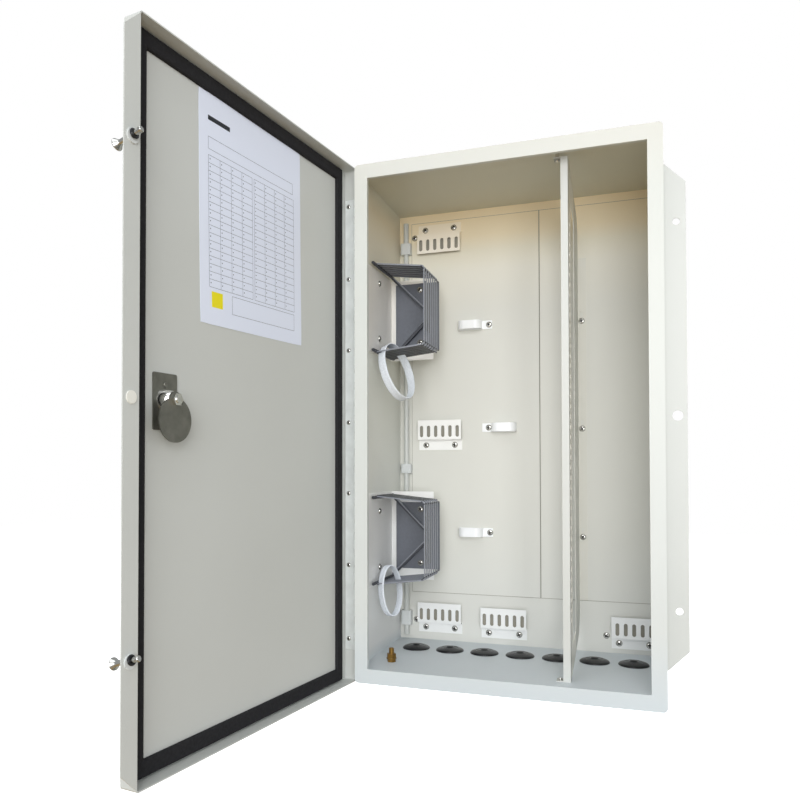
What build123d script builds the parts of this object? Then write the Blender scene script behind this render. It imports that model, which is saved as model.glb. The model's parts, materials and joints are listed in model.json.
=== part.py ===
from build123d import *
import os
from math import cos, radians, sin

os.makedirs("parts", exist_ok=True)

# Millimetres. +X is right seen from the front, +Y goes into the depth, +Z is up.
# The origin is the centre of the back, which lies on the wall at y = 0.

# Sheet and running clearances
SHEET = 1.5
RUNNING = 0.05
LEAF_GAP = 0.3

# Front frame: a rimmed picture frame with a hem round three sides of its opening
FRAME_WIDTH = 448.0
FRAME_HEIGHT = 800.0
FRAME_Z = -6.5
FRAME_RETURN = 20.0
FRAME_CORNER_R = 6.0
LIP_SIDE = 20.5
LIP_END = 22.0
HEM = 7.0
CASE_DEPTH = 231.5
FRONT_Y = -CASE_DEPTH
OPENING_WIDTH = FRAME_WIDTH - 2 * LIP_SIDE
OPENING_HEIGHT = FRAME_HEIGHT - 2 * LIP_END
RETURN_END_Y = FRONT_Y + FRAME_RETURN

# Body shell: a deep tray that sits inside the frame's return
SHELL_WIDTH = FRAME_WIDTH - 2 * SHEET
SHELL_HEIGHT = 773.0
BEND_R = 2.5
INNER_X = SHELL_WIDTH / 2 - SHEET
CEILING_Z = SHELL_HEIGHT / 2 - SHEET
FLOOR_Z = -CEILING_Z
BACK_Y = -SHEET

# Lock flange on the right of the body
LOCK_FLANGE_REACH = 30.5
LOCK_FLANGE_HEIGHT = 696.0
LOCK_FLANGE_LEG = 22.0
LOCK_FLANGE_CHAMFER = 27.0
LOCK_HOLE_X = 240.5
LOCK_HOLE_R = 4.8
LOCK_MIDDLE_HOLE_R = 7.0
LOCK_HOLE_STEP = 267.0
LOCK_HOLE_ZS = (FRAME_Z - LOCK_HOLE_STEP, FRAME_Z, FRAME_Z + LOCK_HOLE_STEP)

# Door, in its own directions: u from the hinge axis to the free edge, n inwards, z up
OPEN_ANGLE = 98.5
KNUCKLE_R = 2.2
PIN_R = 1.2
HINGE_X = -FRAME_WIDTH / 2 - LEAF_GAP - KNUCKLE_R
HINGE_Y = FRONT_Y + 18.5
DOOR_U = Vector(cos(radians(OPEN_ANGLE)), -sin(radians(OPEN_ANGLE)), 0)
DOOR_N = Vector(sin(radians(OPEN_ANGLE)), cos(radians(OPEN_ANGLE)), 0)
HINGE_AXIS = Vector(HINGE_X, HINGE_Y, 0)
PAN_HEIGHT = 806.4
PAN_LOW_U = -4.0
PAN_HIGH_U = 457.5
PAN_FACE_N = -25.4
PANEL_IN_N = PAN_FACE_N + SHEET
RIM_N = -3.0
PAN_CORNER_R = 4.0
DOOR_FLANGE_U = 478.0
DOOR_FLANGE_CHAMFER = 20.6
BOLT_U = LOCK_HOLE_X - HINGE_X

# Piano hinge
LEAF = 1.0
HINGE_HEIGHT = 712.0
KNUCKLE_PITCH = 26.3
LEAF_REACH = 22.0
LEAF_NOTCH = 7.0
BODY_LEAF_REACH = 16.0
HINGE_SCREW_N = -16.5
HINGE_SCREW_ZS = (338.3, 222.3, 109.2, -5.2, -116.8, -229.6, -345.1)

# Door gasket and chart sheet
GASKET = 5.0
GASKET_OUT_LOW_U = 12.0
GASKET_OUT_HIGH_U = 448.0
GASKET_IN_LOW_U = 28.0
GASKET_IN_HIGH_U = 430.0
GASKET_OUT_HEIGHT = 800.0
GASKET_IN_HEIGHT = 762.0
CHART_WIDTH = 215.9
CHART_HEIGHT = 279.4
CHART_THICK = 0.3
CHART_U = 233.9
CHART_Z = 232.7
CHART_TILT = -1.0

# Quarter turn lock with a disc cam
LOCK_U = 398.0
LOCK_Z = -3.0
LOCK_PLATE_WIDTH = 37.0
LOCK_PLATE_HEIGHT = 63.5
LOCK_PLATE_Z = LOCK_Z - 1.85
LOCK_PLATE_THICK = 1.5
LOCK_RIVET_Z = LOCK_Z + 17.0
BARREL_R = 9.0
BARREL_HEAD_R = 13.0
BARREL_HEAD = 3.0
SPINDLE_R = 4.0
CAM_R = 25.0
CAM_DROP = 22.5
CAM_THICK = 2.0
CAM_STAND_OFF = 15.0
NUT_ACROSS = 13.0
NUT_THICK = 5.0

# Security bolts in the door flange, and the plug between them
BOLT_R = 3.0
BOLT_TIP = 13.0
BOLT_HEAD_STAND = 20.0
BOLT_HEAD = 4.5
BOLT_HEAD_R = 6.8
BUSH_R = 7.8
BUSH_COLLAR = 1.5
BUSH_NECK_R = 5.5
O_RING_OUT_R = 5.3
O_RING = 2.2
PLUG_R = 6.8

# Screws and rivets
SCREW_R = 2.0
SCREW_HEAD_R = 4.5
SCREW_HEAD = 2.4
SMALL_HEAD_R = 3.0
SMALL_HEAD = 1.4
SMALL_R = 1.5

# Mounting plates on the back, a pair with a narrow seam
PLATE = 1.0
PLATE_TOP_Z = 370.0
PLATE_LOW_Z = -300.0
PLATE_LEFT_X = -198.0
PLATE_SEAM_X = 31.0
PLATE_SEAM = 1.5
PLATE_RIGHT_X = 214.0
PLATE_Y = BACK_Y - PLATE
CORNER_SCREWS = ((-192.5, 344.2, PLATE_Y), (-191.0, -350.4, BACK_Y), (138.3, -356.8, BACK_Y))

# Comb brackets: (name, left x, width, plate low z, plate height, flange side, seat y)
COMB_STAND = 11.0
COMB_SHEET = 1.2
COMB_FLANGE = 18.5
COMB_SLOT_WIDTH = 6.0
COMB_SLOT_HEIGHT = 20.5
COMB_SLOT_RISE = 4.5
COMB_PITCH = 13.1
COMB_SCREW_SHARE = 0.67
COMB_SCREW_FROM_PLATE = 9.6
COMBS = (
    ("comb_bracket_top_left", -185.0, 78.5, 311.5, 35.0, 1, PLATE_Y),
    ("comb_bracket_mid_left", -184.5, 79.0, -25.5, 35.0, -1, PLATE_Y),
    ("comb_bracket_bottom_left", -186.0, 79.0, -353.0, 35.0, -1, BACK_Y),
    ("comb_bracket_bottom_middle", -72.0, 79.0, -356.0, 35.0, -1, BACK_Y),
    ("comb_bracket_bottom_right", 146.5, 71.0, -358.5, 35.0, -1, BACK_Y),
)

# Cable clips: (name, left x, centre z, tab direction, screw x)
CLIP_WIDTH = 43.0
CLIP_DEPTH = 18.0
CLIP_HEIGHT = 15.0
CLIP_WALL = 1.6
CLIP_CORNER_R = 13.0
CLIP_TAB = 17.0
CLIPS = (
    ("cable_clip_upper", -111.0, 176.5, 1, -56.4),
    ("cable_clip_middle", -52.0, -5.5, -1, -57.5),
    ("cable_clip_lower", -111.0, -190.0, 1, -55.8),
)

# Conduit up the left of the back, with three saddles
CONDUIT_X = -208.0
CONDUIT_R = 4.6
CONDUIT_LOW_Z = -377.0
CONDUIT_HIGH_Z = 371.0
SADDLES = (("saddle_upper", 313.5, 333.5), ("saddle_middle", -85.5, -69.0), ("saddle_lower", -359.5, -334.0))
SADDLE_WIDTH = 19.0
SADDLE_DEPTH = 11.5

# Trays: each has a wall bracket, a base plate with two sloping bars, and stacked ribbed layers
TRAY_FRONT_Y = -171.5
TRAY_BACK_Y = -59.5
TRAY_BASE = 2.0
TRAY_BASE_LEFT_X = -211.0
TRAY_LEFT_X = -214.0
TRAY_RIGHT_X = -131.0
TRAY_LAYERS = 6
TRAY_WALL = 2.2
TRAY_RIB = 2.2
TRAY_INNER_RIB = 1.8
TRAY_RIB_THICK = 3.5
TRAY_CORNER = 9.0
TRAY_WINDOW = 13.0
TRAY_BAR_LEFT_X = -206.0
TRAY_BAR_RUN = 54.0
TRAY_BAR_HIGH = 4.5
TRAY_BAR_STAND = 4.0
TRAY_BAR_PAST = 2.0
BRACKET_BACK_X = -144.0
BRACKET_FRONT_Y = -186.5
TRAY_SCREW_X = -167.0
WALL_SCREW_Y = -125.2

# Each tray by name: its channel from the top arm's tip round to the low arm's tip, its bracket,
# its base, and its screws into the base and into the wall, all by z
TRAYS = (
    ("upper", (259.5, 249.5, 121.5, 113.5), (253.0, 112.0), (245.5, 128.0), (234.2, 142.2), (233.8, 140.9)),
    (
        "lower",
        (-122.5, -130.0, -257.0, -266.5),
        (-117.5, -270.0),
        (-136.0, -251.0),
        (-148.1, -240.9),
        (-148.9, -241.8),
    ),
)

# Strap loops hang through slots in the low arms: (tray, centre, half depth, half height, turn, lean)
STRAP_THICK = 1.8
STRAP_WIDTH = 15.0
STRAP_GAP = 0.3
STRAPS = {
    "upper": ((-188.0, -128.5, 82.6), 38.0, 48.3, 17.2, 17.2),
    "lower": ((-196.0, -140.0, -278.1), 19.3, 40.6, 34.4, 5.7),
}

# Divider beside the right bay
DIVIDER_X = 94.5
DIVIDER_SHEET = 1.2
STRIP_WIDTH = 9.0
STRIP_Y = -203.0
STRIP_DROP = 10.0
STRIP_TOP_Z = CEILING_Z - STRIP_DROP
DIVIDER_TAB = 10.0
DIVIDER_TAB_DEPTH = 16.0
WEB_TOP_Z = 343.0
WEB_LOW_Z = -351.5
WEB_SHOULDER = 24.0
WINDOW_FRONT_Y = -154.5
WINDOW_BACK_Y = -44.5
WINDOW_HIGH_Z = 323.5
WINDOW_LOW_Z = -341.5
REAR_FLANGE = 14.5
REAR_FLANGE_HIGH_Z = 279.5
REAR_FLANGE_LOW_Z = -299.5
DIVIDER_SCREW_X = 101.5
DIVIDER_SCREW_ZS = (172.5, -10.5, -193.5)
STRIP_SLOT_PITCH = 15.0
KEYHOLE_RISE = 11.0
KEYHOLE_LONG = 9.0
KEYHOLE_WIDE = 4.4

# Floor: seven grommets and an earth stud
GROMMETS = 7
GROMMET_X = -171.5
GROMMET_STEP = 58.75
GROMMET_Y = -71.5
GROMMET_R = 23.3
GROMMET_HOLE_R = 20.0
GROMMET_FLANGE = 2.0
GROMMET_DOME = 2.5
STUD_X = -183.6
STUD_Y = -173.2
STUD_R = 4.0
STUD_HEIGHT = 22.0


def facing(y):
    """The upright plane at depth y that looks out of the cabinet."""
    return Plane.XZ.offset(-y)


def on_door(n):
    """The same kind of plane on the door, at n from its hinge axis."""
    return Plane(origin=HINGE_AXIS + DOOR_N * n, x_dir=DOOR_U, z_dir=-DOOR_N)


def above_door(z):
    """The level plane at height z whose directions are the door's u and n."""
    return Plane(origin=HINGE_AXIS + Vector(0, 0, z), x_dir=DOOR_U, z_dir=(0, 0, 1))


def across_door(u):
    """The plane square to the door at u, whose directions are n and up."""
    return Plane(origin=HINGE_AXIS + DOOR_U * u, x_dir=DOOR_N, z_dir=DOOR_U)


def write(part, label):
    part.label = label
    export_step(part, f"parts/{label}.step")


def fastener(head_r, head_h, shank_r, shank):
    """A head with a sloped rim on the plane z = 0, with its shank going down."""
    with BuildPart(mode=Mode.PRIVATE) as made:
        with BuildSketch(Plane.XY):
            Circle(head_r)
        extrude(amount=head_h)
        chamfer(faces().sort_by(Axis.Z)[-1].edges(), head_h * 0.45)
        with BuildSketch(Plane.XY):
            Circle(shank_r)
        extrude(amount=-shank)
    return made.part


def fasteners(places, head_r, head_h, shank_r, shank):
    """One part of several solids: the same fastener in every place."""
    one = fastener(head_r, head_h, shank_r, shank)
    return Compound(children=[place * one for place in places])


# The front frame: face, return round the outside, hem on three sides of the opening
with BuildPart() as front_frame:
    with BuildSketch(facing(RETURN_END_Y)):
        with Locations((0, FRAME_Z)):
            RectangleRounded(FRAME_WIDTH, FRAME_HEIGHT, FRAME_CORNER_R)
            RectangleRounded(
                FRAME_WIDTH - 2 * SHEET,
                FRAME_HEIGHT - 2 * SHEET,
                FRAME_CORNER_R - SHEET,
                mode=Mode.SUBTRACT,
            )
    extrude(amount=FRAME_RETURN)
    with BuildSketch(facing(FRONT_Y + SHEET)):
        with Locations((0, FRAME_Z)):
            RectangleRounded(FRAME_WIDTH, FRAME_HEIGHT, FRAME_CORNER_R)
            Rectangle(OPENING_WIDTH, OPENING_HEIGHT, mode=Mode.SUBTRACT)
    extrude(amount=SHEET)
    with BuildSketch(facing(FRONT_Y + HEM)):
        with Locations((0, FRAME_Z - OPENING_HEIGHT / 2)):
            Rectangle(
                OPENING_WIDTH + 2 * SHEET, OPENING_HEIGHT + SHEET, align=(Align.CENTER, Align.MIN)
            )
            Rectangle(
                OPENING_WIDTH, OPENING_HEIGHT, align=(Align.CENTER, Align.MIN), mode=Mode.SUBTRACT
            )
    extrude(amount=HEM)
write(front_frame.part, "front_frame")

# Every place where a screw goes into the back, by x and z
BACK_SCREWS = [(x, z) for x, z, seat in CORNER_SCREWS]
BACK_SCREWS += [(x, z) for name, left, z, way, x in CLIPS]
BACK_SCREWS += [(DIVIDER_SCREW_X, z) for z in DIVIDER_SCREW_ZS]
COMB_SCREWS = []
for name, left, width, low, height, side, seat in COMBS:
    spacing = width * COMB_SCREW_SHARE
    z = low + height + COMB_SCREW_FROM_PLATE if side > 0 else low - COMB_SCREW_FROM_PLATE
    for end in (-1, 1):
        COMB_SCREWS.append((left + width / 2 + end * spacing / 2, z, seat))
BACK_SCREWS += [(x, z) for x, z, seat in COMB_SCREWS]
GROMMET_XS = [GROMMET_X + GROMMET_STEP * i for i in range(GROMMETS)]
WALL_SCREW_ZS = [z for tray in TRAYS for z in tray[5]]

# The body shell: one deep tray with grommet holes in its floor
with BuildPart() as body_shell:
    with BuildSketch(facing(0)):
        RectangleRounded(SHELL_WIDTH, SHELL_HEIGHT, BEND_R)
    extrude(amount=CASE_DEPTH - SHEET)
    with BuildSketch(facing(BACK_Y)):
        RectangleRounded(SHELL_WIDTH - 2 * SHEET, SHELL_HEIGHT - 2 * SHEET, BEND_R - SHEET)
    extrude(amount=CASE_DEPTH, mode=Mode.SUBTRACT)
    with BuildSketch(Plane.XY.offset(FLOOR_Z + 1)):
        with Locations(*[(x, GROMMET_Y) for x in GROMMET_XS]):
            Circle(GROMMET_HOLE_R)
    extrude(amount=-SHEET - 2, mode=Mode.SUBTRACT)
    with BuildSketch(facing(0.5)):
        with Locations(*BACK_SCREWS):
            Circle(SCREW_R + RUNNING)
    extrude(amount=SHEET + 1, mode=Mode.SUBTRACT)
    with BuildSketch(Plane.YZ.offset(-SHELL_WIDTH / 2 - 1)):
        with Locations(*[(WALL_SCREW_Y, z) for z in WALL_SCREW_ZS]):
            Circle(SCREW_R + RUNNING)
    extrude(amount=SHEET + 2, mode=Mode.SUBTRACT)
write(body_shell.part, "body_shell")

# The lock flange: an angle on the right wall, just behind the frame's return
with BuildPart() as lock_flange:
    with BuildSketch(facing(RETURN_END_Y + SHEET)):
        with Locations((SHELL_WIDTH / 2, FRAME_Z)):
            Rectangle(LOCK_FLANGE_REACH, LOCK_FLANGE_HEIGHT, align=(Align.MIN, Align.CENTER))
        chamfer(vertices().sort_by(Axis.X)[-2:], LOCK_FLANGE_CHAMFER)
        with Locations(*[(LOCK_HOLE_X, z) for z in LOCK_HOLE_ZS]):
            Circle(LOCK_HOLE_R, mode=Mode.SUBTRACT)
        with Locations((LOCK_HOLE_X, FRAME_Z)):
            Circle(LOCK_MIDDLE_HOLE_R, mode=Mode.SUBTRACT)
    extrude(amount=SHEET)
    with BuildSketch(facing(RETURN_END_Y + LOCK_FLANGE_LEG)):
        with Locations((SHELL_WIDTH / 2, FRAME_Z)):
            Rectangle(SHEET, LOCK_FLANGE_HEIGHT, align=(Align.MIN, Align.CENTER))
    extrude(amount=LOCK_FLANGE_LEG)
write(lock_flange.part, "lock_flange")

# Mounting plates: left and right of the seam
PLATE_BOUNDS = (
    ("mounting_plate_left", PLATE_LEFT_X, PLATE_SEAM_X - PLATE_SEAM / 2),
    ("mounting_plate_right", PLATE_SEAM_X + PLATE_SEAM / 2, PLATE_RIGHT_X),
)
for name, low_x, high_x in PLATE_BOUNDS:
    held = [(x, z) for x, z in BACK_SCREWS if low_x < x < high_x and PLATE_LOW_Z < z < PLATE_TOP_Z]
    with BuildPart() as mounting_plate:
        with BuildSketch(facing(BACK_Y)):
            with Locations(((low_x + high_x) / 2, (PLATE_LOW_Z + PLATE_TOP_Z) / 2)):
                Rectangle(high_x - low_x, PLATE_TOP_Z - PLATE_LOW_Z)
            with Locations(*held):
                Circle(SCREW_R + RUNNING, mode=Mode.SUBTRACT)
        extrude(amount=PLATE)
    write(mounting_plate.part, name)

# All screws in the back go into one part, filled as each group of holders is built
back_screws = []
for x, z, seat in CORNER_SCREWS:
    place = facing(seat).location * Location((x, z, 0))
    back_screws.append(place * fastener(SCREW_HEAD_R, SCREW_HEAD, SCREW_R, -seat - 0.3))

# Comb brackets: flange on the back, step forward, slotted plate
for name, left, width, low, height, side, seat in COMBS:
    high = low + height
    slots = round(width / COMB_PITCH)
    joint = high if side > 0 else low
    inner = joint - side * COMB_SHEET
    flange_end = joint + side * COMB_FLANGE
    plate_end = low if side > 0 else high
    front = seat - COMB_STAND
    screws = [(x, z) for x, z, s in COMB_SCREWS if left < x < left + width and low - 30 < z < high + 30]
    with BuildPart() as comb_bracket:
        with BuildSketch(Plane.YZ.offset(left)):
            with BuildLine():
                Polyline(
                    (seat, flange_end),
                    (seat, inner),
                    (front + COMB_SHEET, inner),
                    (front + COMB_SHEET, plate_end),
                    (front, plate_end),
                    (front, joint),
                    (seat - COMB_SHEET, joint),
                    (seat - COMB_SHEET, flange_end),
                    close=True,
                )
            make_face()
        extrude(amount=width)
        with BuildSketch(facing(front + COMB_SHEET + 1)):
            with Locations((left + width / 2, low + COMB_SLOT_RISE + COMB_SLOT_HEIGHT / 2)):
                with GridLocations(COMB_PITCH, 1, slots, 1):
                    SlotOverall(COMB_SLOT_HEIGHT, COMB_SLOT_WIDTH, rotation=90)
        extrude(amount=COMB_SHEET + 2, mode=Mode.SUBTRACT)
        with BuildSketch(facing(seat + 1)):
            with Locations(*screws):
                Circle(SCREW_R + RUNNING)
        extrude(amount=COMB_SHEET + 2, mode=Mode.SUBTRACT)
    write(comb_bracket.part, name)

for x, z, seat in COMB_SCREWS:
    place = facing(seat - COMB_SHEET).location * Location((x, z, 0))
    shank = COMB_SHEET - seat - 0.3
    back_screws.append(place * fastener(SCREW_HEAD_R, SCREW_HEAD, SCREW_R, shank))

# Cable clips: a closed band standing off the mounting plate, with a screwed tab
for name, left, centre_z, way, screw_x in CLIPS:
    near = left + CLIP_WIDTH if way > 0 else left
    with BuildPart() as cable_clip:
        with BuildSketch(Plane.XY.offset(centre_z - CLIP_HEIGHT / 2)):
            with Locations((left + CLIP_WIDTH / 2, PLATE_Y)):
                RectangleRounded(CLIP_WIDTH, 2 * CLIP_DEPTH, CLIP_CORNER_R)
                RectangleRounded(
                    CLIP_WIDTH - 2 * CLIP_WALL,
                    2 * CLIP_DEPTH - 2 * CLIP_WALL,
                    CLIP_CORNER_R - CLIP_WALL,
                    mode=Mode.SUBTRACT,
                )
                Rectangle(
                    CLIP_WIDTH + 2, CLIP_DEPTH + 2, align=(Align.CENTER, Align.MIN), mode=Mode.SUBTRACT
                )
            with Locations((left + CLIP_WIDTH / 2, PLATE_Y)):
                Rectangle(CLIP_WIDTH, CLIP_WALL, align=(Align.CENTER, Align.MAX))
            with Locations((near - way * CLIP_WALL, PLATE_Y)):
                Rectangle(
                    CLIP_TAB + CLIP_WALL,
                    CLIP_WALL,
                    align=(Align.MIN if way > 0 else Align.MAX, Align.MAX),
                )
        extrude(amount=CLIP_HEIGHT)
        with BuildSketch(facing(PLATE_Y + 1)):
            with Locations((screw_x, centre_z)):
                Circle(SCREW_R + RUNNING)
        extrude(amount=CLIP_WALL + 2, mode=Mode.SUBTRACT)
    write(cable_clip.part, name)

for name, left, z, way, x in CLIPS:
    place = facing(PLATE_Y - CLIP_WALL).location * Location((x, z, 0))
    shank = CLIP_WALL - PLATE_Y - 0.3
    back_screws.append(place * fastener(SCREW_HEAD_R, SCREW_HEAD, SCREW_R, shank))

# Conduit against the back, and its saddles
CONDUIT_Y = BACK_Y - CONDUIT_R
with BuildPart() as conduit:
    with BuildSketch(Plane.XY.offset(CONDUIT_LOW_Z)):
        with Locations((CONDUIT_X, CONDUIT_Y)):
            Circle(CONDUIT_R)
            Circle(CONDUIT_R - 1.0, mode=Mode.SUBTRACT)
    extrude(amount=CONDUIT_HIGH_Z - CONDUIT_LOW_Z)
write(conduit.part, "conduit")
for name, low_z, high_z in SADDLES:
    with BuildPart() as saddle:
        with BuildSketch(Plane.XY.offset(low_z)):
            with Locations((CONDUIT_X, BACK_Y)):
                Rectangle(SADDLE_WIDTH, SADDLE_DEPTH, align=(Align.CENTER, Align.MAX))
            fillet(vertices().sort_by(Axis.Y)[:2], 4)
            with Locations((CONDUIT_X, CONDUIT_Y)):
                Circle(CONDUIT_R + RUNNING, mode=Mode.SUBTRACT)
            with Locations((CONDUIT_X, BACK_Y)):
                Rectangle(
                    2 * (CONDUIT_R + RUNNING),
                    CONDUIT_R,
                    align=(Align.CENTER, Align.MAX),
                    mode=Mode.SUBTRACT,
                )
        extrude(amount=high_z - low_z)
    write(saddle.part, name)

# Trays: white angle on the left wall, dark base with bars, stacked channel layers, strap loop
tray_places = []
CHANNEL_X = TRAY_RIGHT_X - TRAY_RIB
ANGLE_Y = TRAY_BACK_Y + TRAY_BASE
for tray, channel, angle_zs, base_span, base_zs, wall_zs in TRAYS:
    top_left, top_right, low_right, low_left = channel
    angle_top, angle_low = angle_zs
    base_top, base_low = base_span
    with BuildPart() as tray_bracket:
        with BuildSketch(Plane.XY.offset(angle_low)):
            with BuildLine():
                Polyline(
                    (-INNER_X, BRACKET_FRONT_Y),
                    (-INNER_X + SHEET, BRACKET_FRONT_Y),
                    (-INNER_X + SHEET, ANGLE_Y),
                    (BRACKET_BACK_X, ANGLE_Y),
                    (BRACKET_BACK_X, ANGLE_Y + SHEET),
                    (-INNER_X, ANGLE_Y + SHEET),
                    close=True,
                )
            make_face()
        extrude(amount=angle_top - angle_low)
        with BuildSketch(Plane.YZ.offset(-INNER_X - 1)):
            with Locations(*[(WALL_SCREW_Y, z) for z in wall_zs]):
                Circle(SCREW_R + RUNNING)
        extrude(amount=SHEET + 2, mode=Mode.SUBTRACT)
        with BuildSketch(facing(ANGLE_Y + SHEET + 1)):
            with Locations(*[(TRAY_SCREW_X, z) for z in base_zs]):
                Circle(SCREW_R + RUNNING)
        extrude(amount=SHEET + 2, mode=Mode.SUBTRACT)
    write(tray_bracket.part, f"tray_bracket_{tray}")

    with BuildPart() as tray_base:
        with BuildSketch(facing(ANGLE_Y)):
            with Locations((TRAY_BASE_LEFT_X, base_low)):
                Rectangle(
                    CHANNEL_X - TRAY_BASE_LEFT_X, base_top - base_low, align=(Align.MIN, Align.MIN)
                )
            with Locations(*[(TRAY_SCREW_X, z) for z in base_zs]):
                Circle(SCREW_R + RUNNING, mode=Mode.SUBTRACT)
        extrude(amount=TRAY_BASE)
        for start_z, way in ((base_top + TRAY_BAR_PAST, -1), (base_low - TRAY_BAR_PAST, 1)):
            with BuildSketch(facing(ANGLE_Y)):
                with BuildLine():
                    Polyline(
                        (TRAY_BAR_LEFT_X, start_z - TRAY_BAR_HIGH / 2),
                        (TRAY_BAR_LEFT_X + TRAY_BAR_RUN, start_z + way * TRAY_BAR_RUN - TRAY_BAR_HIGH / 2),
                        (TRAY_BAR_LEFT_X + TRAY_BAR_RUN, start_z + way * TRAY_BAR_RUN + TRAY_BAR_HIGH / 2),
                        (TRAY_BAR_LEFT_X, start_z + TRAY_BAR_HIGH / 2),
                        close=True,
                    )
                make_face()
            extrude(amount=TRAY_BASE + TRAY_BAR_STAND)
    write(tray_base.part, f"tray_base_{tray}")
    for z in base_zs:
        tray_places.append(facing(TRAY_BACK_Y).location * Location((TRAY_SCREW_X, z, 0)))

    # The strap's plane: turned from the wall's direction, and leaning to the right at its foot
    centre, half_depth, half_height, strap_turn, strap_lean = STRAPS[tray]
    strap_side = Vector(cos(radians(strap_turn)), -sin(radians(strap_turn)), 0)
    strap_along = Vector(sin(radians(strap_turn)), cos(radians(strap_turn)), 0)
    strap_up = Vector(0, 0, cos(radians(strap_lean))) - strap_side * sin(radians(strap_lean))
    strap_plane = Plane(origin=centre, x_dir=strap_along, z_dir=strap_along.cross(strap_up))
    with BuildPart() as strap:
        with BuildSketch(strap_plane):
            Ellipse(half_depth + STRAP_THICK / 2, half_height + STRAP_THICK / 2)
            Ellipse(half_depth - STRAP_THICK / 2, half_height - STRAP_THICK / 2, mode=Mode.SUBTRACT)
        extrude(amount=STRAP_WIDTH / 2, both=True)
    write(strap.part, f"strap_loop_{tray}")

    step = (TRAY_BACK_Y - TRAY_FRONT_Y) / TRAY_LAYERS
    outline = (
        (TRAY_LEFT_X, top_left),
        (CHANNEL_X - TRAY_CORNER, top_right),
        (CHANNEL_X, top_right - TRAY_CORNER),
        (CHANNEL_X, low_right + TRAY_CORNER),
        (CHANNEL_X - TRAY_CORNER, low_right),
        (TRAY_LEFT_X, low_left),
    )
    slot_grow = STRAP_THICK / 2 + STRAP_GAP
    layers = []
    for i in range(TRAY_LAYERS):
        back = TRAY_BACK_Y - step * i
        with BuildPart() as layer:
            with BuildSketch(facing(back)):
                with BuildLine():
                    run = Polyline(*outline)
                    offset(run, amount=TRAY_WALL, side=Side.RIGHT)
                make_face()
                with Locations((CHANNEL_X - TRAY_WINDOW, top_right - TRAY_WINDOW)):
                    Rectangle(
                        TRAY_WINDOW, 2 * TRAY_WINDOW, align=(Align.MIN, Align.MIN), mode=Mode.SUBTRACT
                    )
                with Locations((CHANNEL_X - TRAY_WINDOW, low_right + TRAY_WINDOW)):
                    Rectangle(
                        TRAY_WINDOW, 2 * TRAY_WINDOW, align=(Align.MIN, Align.MAX), mode=Mode.SUBTRACT
                    )
            extrude(amount=step)
            for reach in (-TRAY_RIB, TRAY_WALL + TRAY_INNER_RIB):
                with BuildSketch(facing(back - step + TRAY_RIB_THICK)):
                    with BuildLine():
                        run = Polyline(*outline)
                        offset(run, amount=reach, side=Side.RIGHT)
                    make_face()
                extrude(amount=TRAY_RIB_THICK)
            with BuildSketch(strap_plane):
                Ellipse(half_depth + slot_grow, half_height + slot_grow)
                Ellipse(half_depth - slot_grow, half_height - slot_grow, mode=Mode.SUBTRACT)
            extrude(amount=STRAP_WIDTH / 2 + STRAP_GAP, both=True, mode=Mode.SUBTRACT)
        layers.append(layer.part)
    write(Compound(children=layers), f"tray_layers_{tray}")

write(fasteners(tray_places, SCREW_HEAD_R, SCREW_HEAD, SCREW_R, TRAY_BASE + SHEET), "tray_screws")
wall_places = [
    Location(Plane(origin=(-INNER_X + SHEET, WALL_SCREW_Y, z), z_dir=(1, 0, 0))) for z in WALL_SCREW_ZS
]
write(fasteners(wall_places, SCREW_HEAD_R, SCREW_HEAD, SCREW_R, 2 * SHEET - 0.3), "wall_screws")

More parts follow.
